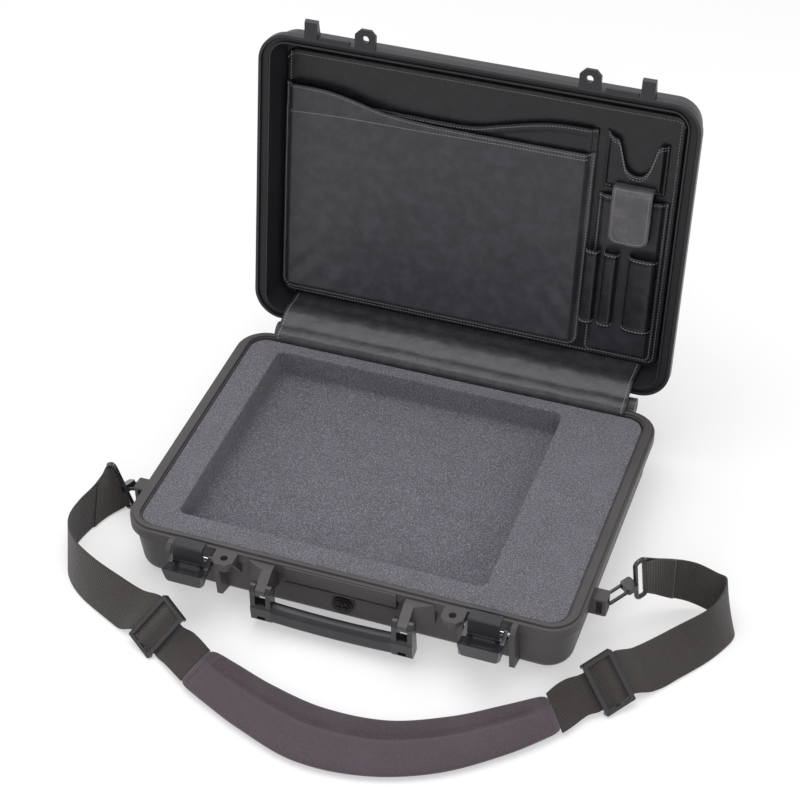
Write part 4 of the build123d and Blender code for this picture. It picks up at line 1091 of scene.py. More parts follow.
@dataclass
class Fittings:
    """Moulded and metal parts that keep the shapes they were made with."""

    finishes: dict[str, Finishes] = field(
        default_factory=lambda: {
            "base_shell": Finishes.CASE,
            "lid_shell": Finishes.LID,
            "lid_gasket": Finishes.SEAL,
            "hinge_pin": Finishes.STEEL,
            "latch_pin": Finishes.STEEL,
            "latch_link_pin": Finishes.STEEL,
            "latch_lever": Finishes.LATCH,
            "latch_hook": Finishes.LATCH,
            "handle_frame": Finishes.HANDLE,
            "handle_grip": Finishes.GRIP,
            "handle_pin": Finishes.STEEL,
            "valve_body": Finishes.VALVE,
            "valve_cap": Finishes.VALVE,
            "valve_seal": Finishes.SEAL,
            "valve_membrane": Finishes.MEMBRANE,
            "fixing_patches": Finishes.PATCH,
            "strap_slider": Finishes.SLIDER,
            "swivel_ring": Finishes.BLACK_METAL,
            "snap_hook": Finishes.BLACK_METAL,
            "snap_gate": Finishes.GATE,
        }
    )

    def build(self) -> None:
        """Give each node its finish."""
        for name, piece in sorted(frame["nodes"].items()):
            finish = next((self.finishes[key] for key in self.finishes if name.startswith(key)), None)
            if finish is None:
                continue
            piece.data.materials.clear()
            piece.data.materials.append(finish.value.material())
            log.info("%s: %s", name, finish.value.name)


# --- Foam insert -----------------------------------------------------------------------------


@dataclass
class FoamInsert:
    """Block of open-cell foam with a cut pocket, in millimetres."""

    half_length: float = 237.5
    half_depth: float = 168.5
    back_relief: float = 166.1
    relief_floor: float = 51.0
    draft: float = 1.6
    corner: float = 19.5
    floor: float = 9.0
    top: float = 69.0
    floor_round: float = 6.5
    edge_round: float = 1.5
    pocket_x: Pair = (-201.0, 146.0)
    pocket_y: Pair = (-140.0, 150.0)
    pocket_depth: float = 35.0
    pocket_corner: float = 8.0
    cut_round: float = 1.6
    wander: float = 0.5
    sag: float = 0.25
    round_steps: tuple[float, ...] = (0.0, 30.0, 60.0, 90.0)

    def outer(self, inset: float, height: float, back: float) -> list[Vector]:
        """A ring of the block's outside.

        Args:
            inset: distance in from the side walls.
            height: of the ring.
            back: the back side's position.

        Returns:
            The ring.
        """
        low = (-self.half_length + inset, -self.half_depth + inset)
        high = (self.half_length - inset, back)
        loop = rounded_loop(low, high, self.corner - inset * 0.5, 24, 10)
        return [Vector((x, y, height)) * MM for x, y in loop]

    def cut(self, inset: float, height: float) -> list[Vector]:
        """A ring of the pocket's wall, cut by a knife that wandered a little.

        Args:
            inset: distance in from the pocket's edge.
            height: of the ring.

        Returns:
            The ring.
        """
        low = (self.pocket_x[0] + inset, self.pocket_y[0] + inset)
        high = (self.pocket_x[1] - inset, self.pocket_y[1] - inset)
        ring = []
        for x, y in rounded_loop(low, high, max(1.0, self.pocket_corner - inset), 24, 10):
            wander = self.wander * ripple(x, y, height * 0.6, 0.05)
            ring.append(Vector((x + wander, y - wander, height)) * MM)
        return ring

    def build(self) -> None:
        """Build the foam."""
        rings = []
        for share in (0.0, 0.3, 0.6, 0.85, 1.0):
            inset = self.draft + self.floor_round * (1.0 - round_over(share, 1.0))
            height = self.floor + self.floor_round * share
            rings.append(self.outer(inset, height, self.half_depth - inset))
        upper = self.draft * 0.3
        rings.append(self.outer(upper, self.relief_floor, self.half_depth - upper))
        rings.append(self.outer(upper, self.relief_floor + 0.2, self.back_relief))
        for angle in self.round_steps:
            turn = math.radians(angle)
            inset = self.edge_round * (1.0 - math.cos(turn))
            height = self.top - self.edge_round * (1.0 - math.sin(turn))
            rings.append(self.outer(inset, height, self.back_relief - inset))
        rim, brink = rings[-1], self.cut(-self.cut_round, self.top)
        for step in range(1, 12):
            share = step / 12
            ring = []
            for far, near in zip(rim, brink):
                spot = far.lerp(near, share)
                sag = self.sag * ripple(spot.x / MM, spot.y / MM, 0.0, 0.03) - self.sag
                ring.append(spot + Vector((0.0, 0.0, sag * MM)))
            rings.append(ring)
        for angle in self.round_steps:
            turn = math.radians(angle)
            inset = -self.cut_round * (1.0 - math.sin(turn))
            rings.append(self.cut(inset, self.top - self.cut_round * (1.0 - math.cos(turn))))
        for step in range(1, 8):
            rings.append(self.cut(0.0, self.top - self.pocket_depth * step / 8))
        base = self.top - self.pocket_depth
        for inset, lift in ((0.4, 1.2), (1.2, 0.4), (3.0, 0.0), (20.0, 0.0), (60.0, 0.0), (110.0, 0.0)):
            rings.append(self.cut(inset, base + lift))
        foam = ring_solid("foam_block", rings, Finishes.FOAM)
        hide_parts("foam_insert")
        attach(foam, "base")
        log.info("foam_block: %d faces", len(foam.data.polygons))


# --- Lid organiser ---------------------------------------------------------------------------


def curve_at(points: Sequence[Pair], x: float) -> float:
    """Height of a smooth line through points.

    Args:
        points: (x, y) in order of x.
        x: where the line is asked for.

    Returns:
        The line's y.
    """
    spots = [Vector((px, py, 0.0)) for px, py in points]
    if len(spots) == 1:
        return points[0][1]
    x = min(max(x, points[0][0]), points[-1][0])
    return through(spots, [spot.x for spot in spots], x).y


@dataclass
class Panel:
    """Sewn panel of the organiser in the closed lid's millimetres, where y grows to the hinge."""

    name: str
    left: float
    right: float
    rim: Sequence[Pair]
    foot: float
    back: float
    depth: float
    corner: float = 8.0
    rim_corner: float = 0.0
    flange: float = 0.0
    flange_height: float = 2.0
    reach: float = 7.0
    hem: float = 0.0
    hem_width: float = 9.0
    billow: float = 0.0
    slack: float = 0.4
    sheet: float = 1.6
    columns: int = 110
    rows: int = 80
    finish: Finishes = Finishes.LEATHERETTE
    folds: Callable[[float, float], float] | None = None
    facing: Sequence[Pair] | None = None
    facing_step: float = 1.3
    seam_end: float = 9.0

    def ends(self, x: float) -> Pair:
        """The panel's two ends on a line down it.

        Args:
            x: the line's place.

        Returns:
            The rim's y and the foot's y.
        """
        near = max(0.0, min(x - self.left, self.right - x))
        low, high = curve_at(self.rim, x), self.foot
        if self.corner and near < self.corner:
            high -= self.corner * (1.0 - round_over(near, self.corner))
        if self.rim_corner and near < self.rim_corner:
            low += self.rim_corner * (1.0 - round_over(near, self.rim_corner))
        return low, high

    def height(self, x: float, y: float) -> float:
        """The front face's height at a point of the panel.

        Args:
            x: the point's x.
            y: the point's y.

        Returns:
            The height in the closed lid.
        """
        low, high = self.ends(x)
        near = min(x - self.left, self.right - x, high - y)
        if self.rim_corner:
            near = min(near, y - low)
        if self.flange:
            rise = self.flange_height * round_over(near, 1.4)
            climb = step_up(self.flange, self.flange + self.reach, near)
            rise += (self.depth - self.flange_height) * climb
        else:
            rise = self.depth * round_over(near, self.reach)
        if not self.rim_corner:
            rise -= 0.9 * (1.0 - round_over(y - low, 1.6))
        if self.hem:
            rise += self.hem * (1.0 - step_up(self.hem_width - 1.2, self.hem_width + 1.0, y - low))
        if self.facing is not None:
            rise += self.facing_step * step_up(0.0, 1.2, y - curve_at(self.facing, x))
        across = (x - self.left) / (self.right - self.left)
        down = (y - low) / max(1.0, high - low)
        middle = max(0.0, math.sin(math.pi * across)) * max(0.0, math.sin(math.pi * down))
        rise += self.billow * middle
        loose = step_up(0.0, 20.0, near)
        wave = ripple(x, y, self.back, 0.018) + 0.4 * ripple(x, y, self.back, 0.06)
        rise += loose * self.slack * wave
        if self.folds is not None:
            rise += loose * self.folds(x, y)
        return self.back - max(rise, 0.1)

    def spot(self, x: float, y: float, lift: float = 0.0) -> Vector:
        """A point on the panel in the open lid.

        Args:
            x: the point's x.
            y: the point's y.
            lift: distance off the face.

        Returns:
            The point, in metres.
        """
        return lid_place(x, y, self.height(x, y) - lift)

    def spread(self, share: float) -> float:
        """Fraction of the way with finer steps at both ends."""
        return 0.45 * share + 0.55 * (0.5 - 0.5 * math.cos(math.pi * share))

    def surface(self, across: float, down: float) -> tuple[Vector, Vector]:
        """Point and inward direction for two fractions.

        Args:
            across: from left to right.
            down: from the rim to the foot.

        Returns:
            The point and the direction.
        """
        x = self.left + (self.right - self.left) * self.spread(across)
        low, high = self.ends(x)
        y = low + (high - low) * self.spread(down)
        return self.spot(x, y), INTO_LID

    def build(self, node: str) -> bpy.types.Object:
        """Build the panel.

        Args:
            node: the node that it stands for.

        Returns:
            The panel.
        """
        piece = slab_piece(
            self.name, self.columns, self.rows, self.surface, self.sheet * MM, self.finish
        )
        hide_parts(node)
        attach(piece, "lid")
        log.info("%s: %d faces", self.name, len(piece.data.polygons))
        return piece

    def line_seam(self, line: Sequence[Pair], offset: float) -> list[Vector]:
        """Seam beside a line of points across the panel.

        Args:
            line: (x, y) points from left to right.
            offset: distance beyond the line.

        Returns:
            The seam's points.
        """
        start, end = line[0][0] + self.seam_end, line[-1][0] - self.seam_end
        count = int((end - start) / SEAM_PACE)
        spread = [start + (end - start) * index / count for index in range(count + 1)]
        return [self.spot(x, curve_at(line, x) + offset, SEAM_LIFT) for x in spread]

    def rim_seam(self, offset: float) -> list[Vector]:
        """Seam that follows the rim.

        Args:
            offset: distance in from the rim.

        Returns:
            The seam's points.
        """
        side = max(2.5, self.flange * 0.5)
        count = int((self.right - self.left - 2 * side) / SEAM_PACE)
        line = []
        for index in range(count + 1):
            x = self.left + side + (self.right - self.left - 2 * side) * index / count
            line.append(self.spot(x, self.ends(x)[0] + offset, SEAM_LIFT))
        return line

    def side_seam(self, offset: float) -> list[Vector]:
        """Seam down one side, along the foot and up the other.

        Args:
            offset: distance in from the edge.

        Returns:
            The seam's points.
        """
        bend = max(1.0, self.corner - offset)
        left, right, foot = self.left + offset, self.right - offset, self.foot - offset
        route = [(left, self.ends(left)[0] + 3.0), (left, foot - bend)]
        for angle in range(15, 90, 15):
            turn = math.radians(angle)
            route.append((left + bend * (1 - math.cos(turn)), foot - bend * (1 - math.sin(turn))))
        route += [(left + bend, foot), (right - bend, foot)]
        for angle in range(75, 0, -15):
            turn = math.radians(angle)
            route.append((right - bend * (1 - math.cos(turn)), foot - bend * (1 - math.sin(turn))))
        route += [(right, foot - bend), (right, self.ends(right)[0] + 3.0)]
        return [self.spot(x, y, SEAM_LIFT) for x, y in paced(route, SEAM_PACE)]


@dataclass
class LidOrganiser:
    """Black leatherette organiser in the lid."""

    board_face: float = 109.7
    column_face: float = 103.1
    pocket_left: float = -232.0
    pocket_right: float = 135.0
    pocket_foot: float = 153.0
    column_x: Pair = (141.0, 222.0)
    column_foot: float = 157.0
    yoke_x: Pair = (144.0, 215.0)
    yoke_foot: float = -52.0
    pouch_x: Pair = (160.5, 205.5)
    pouch_y: Pair = (-48.0, 4.0)
    pouch_depth: float = 13.0
    flap_x: Pair = (160.1, 205.9)
    flap_fold: float = -63.2
    flap_top: float = 101.4
    flap_rise: float = 5.0
    flap_bend: float = 9.0
    flap_crease: float = 0.2
    flap_end: float = 5.0
    flap_corner: float = 11.0
    flap_sheet: float = 1.7
    flap_seam: float = 3.4
    loop_y: Pair = (20.0, 113.0)
    loop_seam: float = 2.6
    stitches: StitchTree = field(default_factory=StitchTree)
    seams: list[Sequence[Vector]] = field(default_factory=list)

    def build(self) -> None:
        """Build every panel, then sew them."""
        self.board()
        self.pockets()
        self.column()
        self.phone_pouch()
        self.pen_loops()
        thread = self.stitches.sew("organiser_stitches", self.seams)
        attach(thread, "lid")
        log.info("organiser_stitches: %d faces", len(thread.data.polygons))
        self.phone_flap()

    def board(self) -> None:
        """The padded backing board with its bound edge."""
        board = Panel(
            "lid_board", -234.0, 230.0, [(0.0, -149.0)], 163.0, self.board_face + 2.9, 2.9,
            corner=14.0, rim_corner=14.0, reach=3.0, slack=0.25, sheet=0.6, columns=130, rows=100,
        )
        board.build("organiser_board")
        self.seams.append(board.side_seam(6.0))
        self.seams.append(board.rim_seam(6.0))

    def pockets(self) -> None:
        """The wide back pocket and the document pocket in front of it."""
        back_rim = [
            (-232.0, -99.0), (-122.0, -96.5), (-23.0, -95.5), (1.0, -98.0), (23.0, -104.0),
            (68.0, -115.0), (95.0, -118.5), (135.0, -119.0),
        ]
        front_rim = [
            (-232.0, -110.0), (-200.0, -110.5), (-175.0, -109.0), (-150.0, -104.5), (-121.0, -97.5),
            (-91.0, -93.5), (-44.0, -91.0), (60.0, -90.3), (135.0, -91.0),
        ]
        facing = [(-232.0, -81.0), (-163.0, -85.0), (-67.0, -86.0), (26.0, -87.5), (135.0, -87.5)]
        back = Panel(
            "wide_pocket", self.pocket_left, self.pocket_right, back_rim, self.pocket_foot,
            self.board_face, self.board_face - self.column_face,
            corner=16.0, flange=4.0, flange_height=2.2, reach=6.0, hem=0.7, billow=0.3,
        )
        back.build("back_pocket")
        front = Panel(
            "paper_pocket", self.pocket_left, self.pocket_right, front_rim, self.pocket_foot,
            self.board_face, 2 * (self.board_face - self.column_face),
            corner=14.0, flange=4.5, flange_height=4.4, reach=7.0, billow=1.2, slack=0.6,
            columns=150, rows=130, folds=self.pocket_creases, facing=facing, finish=Finishes.LIT_POCKET,
        )
        front.build("document_pocket")
        self.seams += [back.rim_seam(3.2), front.rim_seam(2.6), front.line_seam(facing, 3.4)]
        self.seams.append(front.side_seam(2.8))

    def pocket_creases(self, x: float, y: float) -> float:
        """Soft slanting creases in the document pocket's lower corners."""
        left = math.exp(-(((x + 205.0) / 30.0) ** 2) - ((y - 118.0) / 45.0) ** 2)
        right = math.exp(-(((x - 112.0) / 26.0) ** 2) - ((y - 120.0) / 50.0) ** 2)
        return 0.6 * left * math.sin((x + y) * 0.16) + 0.6 * right * math.sin((x - y) * 0.17)

    def column(self) -> None:
        """The column pocket and the two-horned holder above it."""
        column = Panel(
            "column_panel", *self.column_x, list(zip(self.column_x, (-45.0, -46.0))),
            self.column_foot, self.board_face, self.board_face - self.column_face,
            corner=9.0, flange=4.0, flange_height=2.2, reach=5.0, hem=0.6, hem_width=7.0, slack=0.5,
            columns=50, rows=110, finish=Finishes.COLUMN,
        )
        column.build("column_pocket")
        rim = [
            (144.0, -121.0), (149.0, -118.0), (154.0, -114.5), (159.5, -112.0), (164.0, -98.0),
            (169.0, -82.0), (176.0, -75.0), (183.0, -73.3), (190.0, -75.5), (196.0, -84.0),
            (200.5, -100.0), (203.5, -111.0), (209.0, -113.5), (215.0, -114.0),
        ]
        holder = Panel(
            "yoke_panel", *self.yoke_x, rim, self.yoke_foot, self.board_face,
            self.board_face - self.column_face,
            corner=3.0, flange=2.5, flange_height=2.4, reach=4.5, hem=0.6, hem_width=4.5, slack=0.5,
            columns=70, rows=40,
        )
        holder.build("yoke_holder")
        self.seams += [column.side_seam(3.0), column.rim_seam(2.6)]
        self.seams += [holder.rim_seam(2.4), holder.rim_seam(5.4)]
        low = self.yoke_foot - 4.0
        self.seams.append([holder.spot(x, low, SEAM_LIFT) for x in range(149, 211, 2)])

    def phone_pouch(self) -> None:
        """Small box pouch on the column."""
        pouch = Panel(
            "pouch_box", *self.pouch_x, [(x, self.pouch_y[0]) for x in self.pouch_x],
            self.pouch_y[1], self.column_face, self.pouch_depth,
            corner=5.0, reach=5.0, slack=0.4, columns=44, rows=44,
        )
        pouch.build("phone_pouch")
        self.seams.append(pouch.side_seam(6.5))

    def flap_point(self, x: float, run: float) -> tuple[Vector, Vector]:
        """Point of the flap's front face and its inward direction.

        Args:
            x: across the flap.
            run: distance from the flap's fold.

        Returns:
            The point and the direction.
        """
        bend, drop = self.flap_bend, self.flap_top - self.flap_rise + self.flap_crease
        arc = bend * math.pi / 2
        crown = 0.9 * math.sin(math.pi * min(1.0, max(0.0, (x - 160.0) / 46.0)))
        if run < self.flap_rise:
            y, z, turn = self.flap_fold, self.flap_top - run, 0.0
        elif run < self.flap_rise + arc:
            turn = (run - self.flap_rise) / bend
            y = self.flap_fold + bend * (1.0 - math.cos(turn))
            z = drop - bend * math.sin(turn)
        else:
            y = self.flap_fold + bend + run - self.flap_rise - arc
            z, turn = drop - bend, math.pi / 2
        puff = (crown + 0.35 * ripple(x, y, 3.0, 0.05)) * math.sin(turn)
        return lid_place(x, y, z - puff), lid_way(0.0, math.cos(turn), math.sin(turn))

    def phone_flap(self) -> None:
        """The pouch's flap with rounded corners, folded over its front."""
        (left, right), corner = self.flap_x, self.flap_corner
        bend = self.flap_bend
        length = self.flap_rise + bend * math.pi / 2 + self.flap_end - self.flap_fold - bend

        def face(across: float, down: float) -> tuple[Vector, Vector]:
            """Surface of the flap with its lower corners rounded off."""
            x = left + (right - left) * (0.4 * across + 0.6 * (0.5 - 0.5 * math.cos(math.pi * across)))
            near = min(x - left, right - x)
            end = length - corner * (1.0 - round_over(near, corner))
            point, inward = self.flap_point(x, end * down)
            edge = 0.9 * (1.0 - round_over(min(near, end * (1.0 - down)), 1.6))
            return point + inward * (edge * MM), inward

        flap = slab_piece("pouch_flap", 44, 70, face, self.flap_sheet * MM, Finishes.LIT_FLAP)
        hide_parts("phone_flap")
        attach(flap, "phone_flap")
        inset, start = self.flap_seam, 14.0
        low, last = length - inset - 1.6, length - inset
        route = [
            (left + inset, start), (left + inset, length - corner), (left + inset + 3.0, low),
            (left + corner, last), (right - corner, last), (right - inset - 3.0, low),
            (right - inset, length - corner), (right - inset, start),
        ]
        line = []
        for x, run in paced(route, SEAM_PACE):
            point, inward = self.flap_point(x, run)
            line.append(point - inward * (0.1 * MM))
        thread = self.stitches.sew("flap_stitches", [line], pitch=0.003)
        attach(thread, "phone_flap")
        log.info("pouch_flap: %d faces", len(flap.data.polygons))

    def pen_loops(self) -> None:
        """Three bulging loops with open, hemmed ends on one backing."""
        sizes = ((136.0, 152.0, 15.0), (157.0, 174.0, 15.0), (185.0, 219.0, 15.8))
        pieces = [self.loop(f"pen_loop_{index + 1}", *size) for index, size in enumerate(sizes)]
        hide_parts("pen_loops")
        for piece in pieces:
            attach(piece, "lid")

    def loop(self, name: str, start: float, end: float, rise: float) -> bpy.types.Object:
        """One loop.

        Args:
            name: the piece's name.
            start: its left edge.
            end: its right edge.
            rise: how far it stands off the column.

        Returns:
            The loop.
        """
        top, foot = self.loop_y
        half, middle = (end - start) / 2, (start + end) / 2

        def spot(across: float, down: float, lift: float = 0.0) -> tuple[Vector, Vector]:
            """Point on the loop's outside and the way to its middle line."""
            angle = math.pi * across
            y = top + (foot - top) * down
            hem = 0.5 * (1.0 - step_up(4.0, 6.0, min(y - top, foot - y)))
            sag = 0.8 * math.sin(math.pi * down) * math.sin(angle)
            dent = 0.5 * ripple(middle + 30.0 * across, y, rise, 0.07) * math.sin(angle)
            x = middle - (half - 0.3) * math.copysign(abs(math.cos(angle)) ** 0.75, math.cos(angle))
            out = (rise - 2.4 + hem + sag + dent + lift) * math.sin(angle) ** 0.62
            inward = lid_way(math.cos(angle), 0.0, math.sin(angle))
            return lid_place(x, y, self.column_face - 0.2 - out), inward

        piece = slab_piece(name, 40, 60, spot, 1.5 * MM, Finishes.LEATHERETTE)
        for line in (self.loop_seam, foot - top - self.loop_seam):
            seam = [spot(0.06 + 0.88 * part / 26, line / (foot - top), 0.12)[0] for part in range(27)]
            self.seams.append(seam)
        log.info("%s: %d faces", name, len(piece.data.polygons))
        return piece


# --- Cover over the hinge gap ----------------------------------------------------------------


@dataclass
class HingeCover:
    """Leatherette cover from behind the foam to the foot of the organiser, in millimetres."""

    left: float = -214.0
    right: float = 212.0
    sheet: float = 1.2
    slack: float = 1.02
    path: Sequence[Pair] = (
        (167.3, 53.0), (167.3, 66.0), (167.8, 72.0), (171.0, 76.5), (178.0, 79.5), (185.0, 81.3),
        (194.0, 85.5), (204.0, 89.2), (213.0, 89.6), (222.0, 87.6), (241.7, 87.8),
    )

    def point(self, x: float, share: float, lift: float = 0.0) -> tuple[Vector, Vector]:
        """Point of the cover's face.

        Args:
            x: along the case.
            share: of the way from the foam to the organiser.
            lift: distance off the face.

        Returns:
            The point and the direction into the sheet.
        """
        spots = [Vector((0.0, y, z)) for y, z in self.path]
        knots = running(spots)
        run = knots[-1] * share
        here = through(spots, knots, run)
        ahead = through(spots, knots, min(knots[-1], run + 0.5))
        ahead -= through(spots, knots, max(0.0, run - 0.5))
        normal = Vector((0.0, -ahead.z, ahead.y)).normalized()
        free = math.sin(math.pi * min(1.0, max(0.0, (share - 0.12) / 0.82)))
        wave = 1.1 * ripple(x, share * 60.0, 0.0, 0.02) + 0.5 * ripple(x, share * 120.0, 5.0, 0.06)
        here = here + normal * (free * wave + lift)
        here.x = x
        return here * MM, -normal

    def build(self, stitches: StitchTree) -> None:
        """Build the cover and its side seams.

        Args:
            stitches: the stitch tree.
        """
        cover = slab_piece(
            "gap_cover", 170, 64,
            lambda across, down: self.point(self.left + (self.right - self.left) * across, down),
            self.sheet * MM, Finishes.COVER,
        )
        seams = []
        for x in (self.left + 4.0, self.right - 4.0):
            seams.append([self.point(x, 0.2 + 0.76 * step / 40, 0.1)[0] for step in range(41)])
        thread = stitches.sew("cover_stitches", seams)
        length = running([Vector((0.0, y, z)) for y, z in self.path])[-1] * MM
        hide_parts("hinge_cover")
        for piece in (cover, thread):
            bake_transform(piece)
        log.info("gap_cover: %d faces", len(cover.data.polygons))


# --- Shoulder strap --------------------------------------------------------------------------


@dataclass
class StrapSide:
    """One side of the shoulder strap: its hook, slider and the stations that it passes."""

    name: str
    side: int
    hook_heading: Point
    hook_slack: float
    slider: tuple[Point, Point]
    slider_heading: Point
    stations: Sequence[tuple[Point, Point]]
    pad_stations: Sequence[tuple[Point, Point]]
    post: Point = (265.7, -97.66, 49.0)
    ring_reach: float = 51.0
    wrap: float = 3.3
    width: float = 50.0
    pad_width: float = 44.0
    sheet: float = 1.6
    ply: float = 1.75
    slider_half: float = 20.0
    bar_reach: float = 17.0
    return_length: float = 40.0
    tail_length: float = 75.0
    tacks: tuple[float, ...] = (27.0, 30.0, 33.0, 36.0)

    def ring_station(self) -> tuple[Point, Point]:
        """Ends of the webbing's line on the far bar of the hook's ring."""
        heading = Vector(self.hook_heading).normalized()
        upright = (Vector((0.0, 0.0, 1.0)) - heading * heading.z).normalized()
        post = Vector((self.side * self.post[0], self.post[1], self.post[2]))
        middle = post + heading * (self.ring_reach - self.hook_slack)
        half = upright * (self.width / 2)
        return tuple(middle - half), tuple(middle + half)

    def slider_station(self, along: float) -> tuple[Point, Point]:
        """Ends of the webbing's line near the slider.

        Args:
            along: distance toward the pad from the slider's middle.

        Returns:
            The lower and the upper end.
        """
        low, high = Vector(self.slider[0]), Vector(self.slider[1])
        across = (high - low).normalized()
        run = Vector(self.slider_heading)
        run = (run - across * run.dot(across)).normalized()
        middle = (low + high) / 2 + run * along
        half = across * (self.width / 2)
        return tuple(middle - half), tuple(middle + half)

    def woven(self, ribbon: Ribbon, name: str, width: float) -> bpy.types.Object:
        """Webbing of this side along a ribbon.

        Args:
            ribbon: its route.
            name: the piece's name, before the side's.
            width: in millimetres.

        Returns:
            The webbing.
        """
        return ribbon.strap(f"{name}_{self.name}", width * MM, self.sheet * MM, Finishes.WEBBING)

    def main_ribbon(self) -> tuple[Ribbon, int]:
        """The strap from the ring to just past the slider.

        Returns:
            The ribbon and the sample at the slider's middle.
        """
        stations = [self.ring_station(), *self.stations]
        stations += [self.slider_station(along) for along in (-self.slider_half, 0.0, self.bar_reach)]
        ribbon = Ribbon.along(stations, float(self.side))
        run = ribbon.distances()
        at_bar = sample_at(run, run[-1] - self.bar_reach * MM)
        return ribbon, at_bar

    def webbing(self) -> tuple[bpy.types.Object, list[Ribbon]]:
        """The long webbing: looped round the ring, through the slider and back under itself.

        Returns:
            The webbing and the ribbons that its seams follow.
        """
        ribbon, at_bar = self.main_ribbon()
        run = ribbon.distances()
        bar = run[at_bar]
        last = len(run) - 1

        def main_out(distance: float) -> float:
            """Offset of the outer layer."""
            start = self.wrap * (1.0 - step_up(0.0, 24.0, distance / MM))
            arch = 0.5 + 0.5 * math.cos(math.pi * min(1.0, abs(distance - bar) / (11.0 * MM)))
            flutter = 0.5 * ripple(distance / MM, self.side * 40.0, 0.0, 0.02)
            loose = step_up(30.0, 60.0, distance / MM)
            loose *= 1.0 - step_up(-60.0, -25.0, (distance - bar) / MM)
            return (start + 2.1 * arch + flutter * loose) * MM

        under_end = sample_at(run, self.return_length * MM)
        under = ribbon.shifted(
            under_end, 0,
            lambda along: -(self.ply + (self.wrap - self.ply) * step_up(24.0, 40.0, along / MM)) * MM,
        )
        heading = (ribbon.middles[1] - ribbon.middles[0]).normalized()
        outward, centre, across = ribbon.outward[0], ribbon.middles[0], ribbon.across[0]
        turn_middles, turn_outward = [], []
        for degrees in range(165, 0, -15):
            angle = math.radians(degrees)
            spoke = outward * math.cos(angle) - heading * math.sin(angle)
            turn_middles.append(centre + spoke * (self.wrap * MM))
            turn_outward.append(spoke)
        outer = ribbon.shifted(0, last, main_out)
        flipped = Ribbon(
            under.middles + turn_middles + outer.middles,
            under.across + [across] * len(turn_middles) + outer.across,
            [-way for way in under.outward] + turn_outward + outer.outward,
            under.widths + [self.width * MM] * len(turn_middles) + outer.widths,
        )
        return self.woven(flipped, "webbing", self.width), [outer, ribbon]

    def tail(self, ribbon: Ribbon, at_bar: int) -> bpy.types.Object:
        """The webbing's free end, which runs back from the slider on the strap's inner face.

        Args:
            ribbon: the strap's middle ribbon.
            at_bar: the sample at the slider's middle.

        Returns:
            The tail.
        """
        run = ribbon.distances()
        start = sample_at(run, run[at_bar] - 5.0 * MM)
        end = sample_at(run, run[at_bar] - (5.0 + self.tail_length) * MM)
        part = ribbon.shifted(
            start, end, lambda along: -(self.ply + 0.02 * along / MM) * MM, side=-3.0 * MM
        )
        return self.woven(part, "webbing_tail", self.width)

    def pad_strap(self) -> tuple[bpy.types.Object, Ribbon]:
        """The narrower webbing from the slider to the pad.

        Returns:
            The webbing and its ribbon.
        """
        stations = [self.slider_station(4.0), self.slider_station(self.slider_half), *self.pad_stations]
        ribbon = Ribbon.along(stations, float(self.side), step=1.5)
        last = len(ribbon.middles) - 1
        moved = ribbon.shifted(
            0, last, lambda along: -self.ply * (1.0 - step_up(14.0, 24.0, along / MM)) * MM
        )
        return self.woven(moved, "pad_strap", self.pad_width), moved

    def build(self, stitches: StitchTree) -> None:
        """Build the side's webbing and its bar tacks.

        Args:
            stitches: the stitch tree.
        """
        strap, (outer, ribbon) = self.webbing()
        tail = self.tail(*self.main_ribbon())
        pad_strap, pad_ribbon = self.pad_strap()
        run = ribbon.distances()
        seams = []
        for distance in self.tacks:
            index = sample_at(run, distance * MM)
            seams.append([outer.spot(index, side * 2.2 * MM, 0.95 * MM) for side in range(-10, 11)])
        thread = stitches.sew(f"strap_tacks_{self.name}", seams, pitch=0.0026)
        length = outer.distances()[-1] + (self.return_length + math.pi * self.wrap) * MM
        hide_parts(f"strap_webbing_{self.name}")
        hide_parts(f"pad_webbing_{self.name}")
        pad_length = pad_ribbon.distances()[-1]
        for piece in (strap, tail, pad_strap, thread):
            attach(piece, "base")
            log.info("%s: %d faces", piece.name, len(piece.data.polygons))


PAD_STATIONS = (
    ((-127.0, -314.0, 6.5), (-108.0, -272.0, 20.0)),
    ((-96.0, -329.0, 6.5), (-72.0, -282.0, 17.0)),
    ((-48.0, -350.0, 6.5), (-32.0, -292.0, 12.5)),
    ((21.0, -371.0, 6.5), (27.0, -302.0, 11.0)),
    ((94.0, -366.0, 6.5), (93.0, -297.0, 11.0)),
    ((161.0, -339.0, 6.5), (152.0, -272.0, 12.0)),
    ((218.0, -295.0, 6.5), (197.0, -246.0, 17.0)),
    ((262.0, -249.0, 6.5), (237.0, -221.0, 22.0)),
)


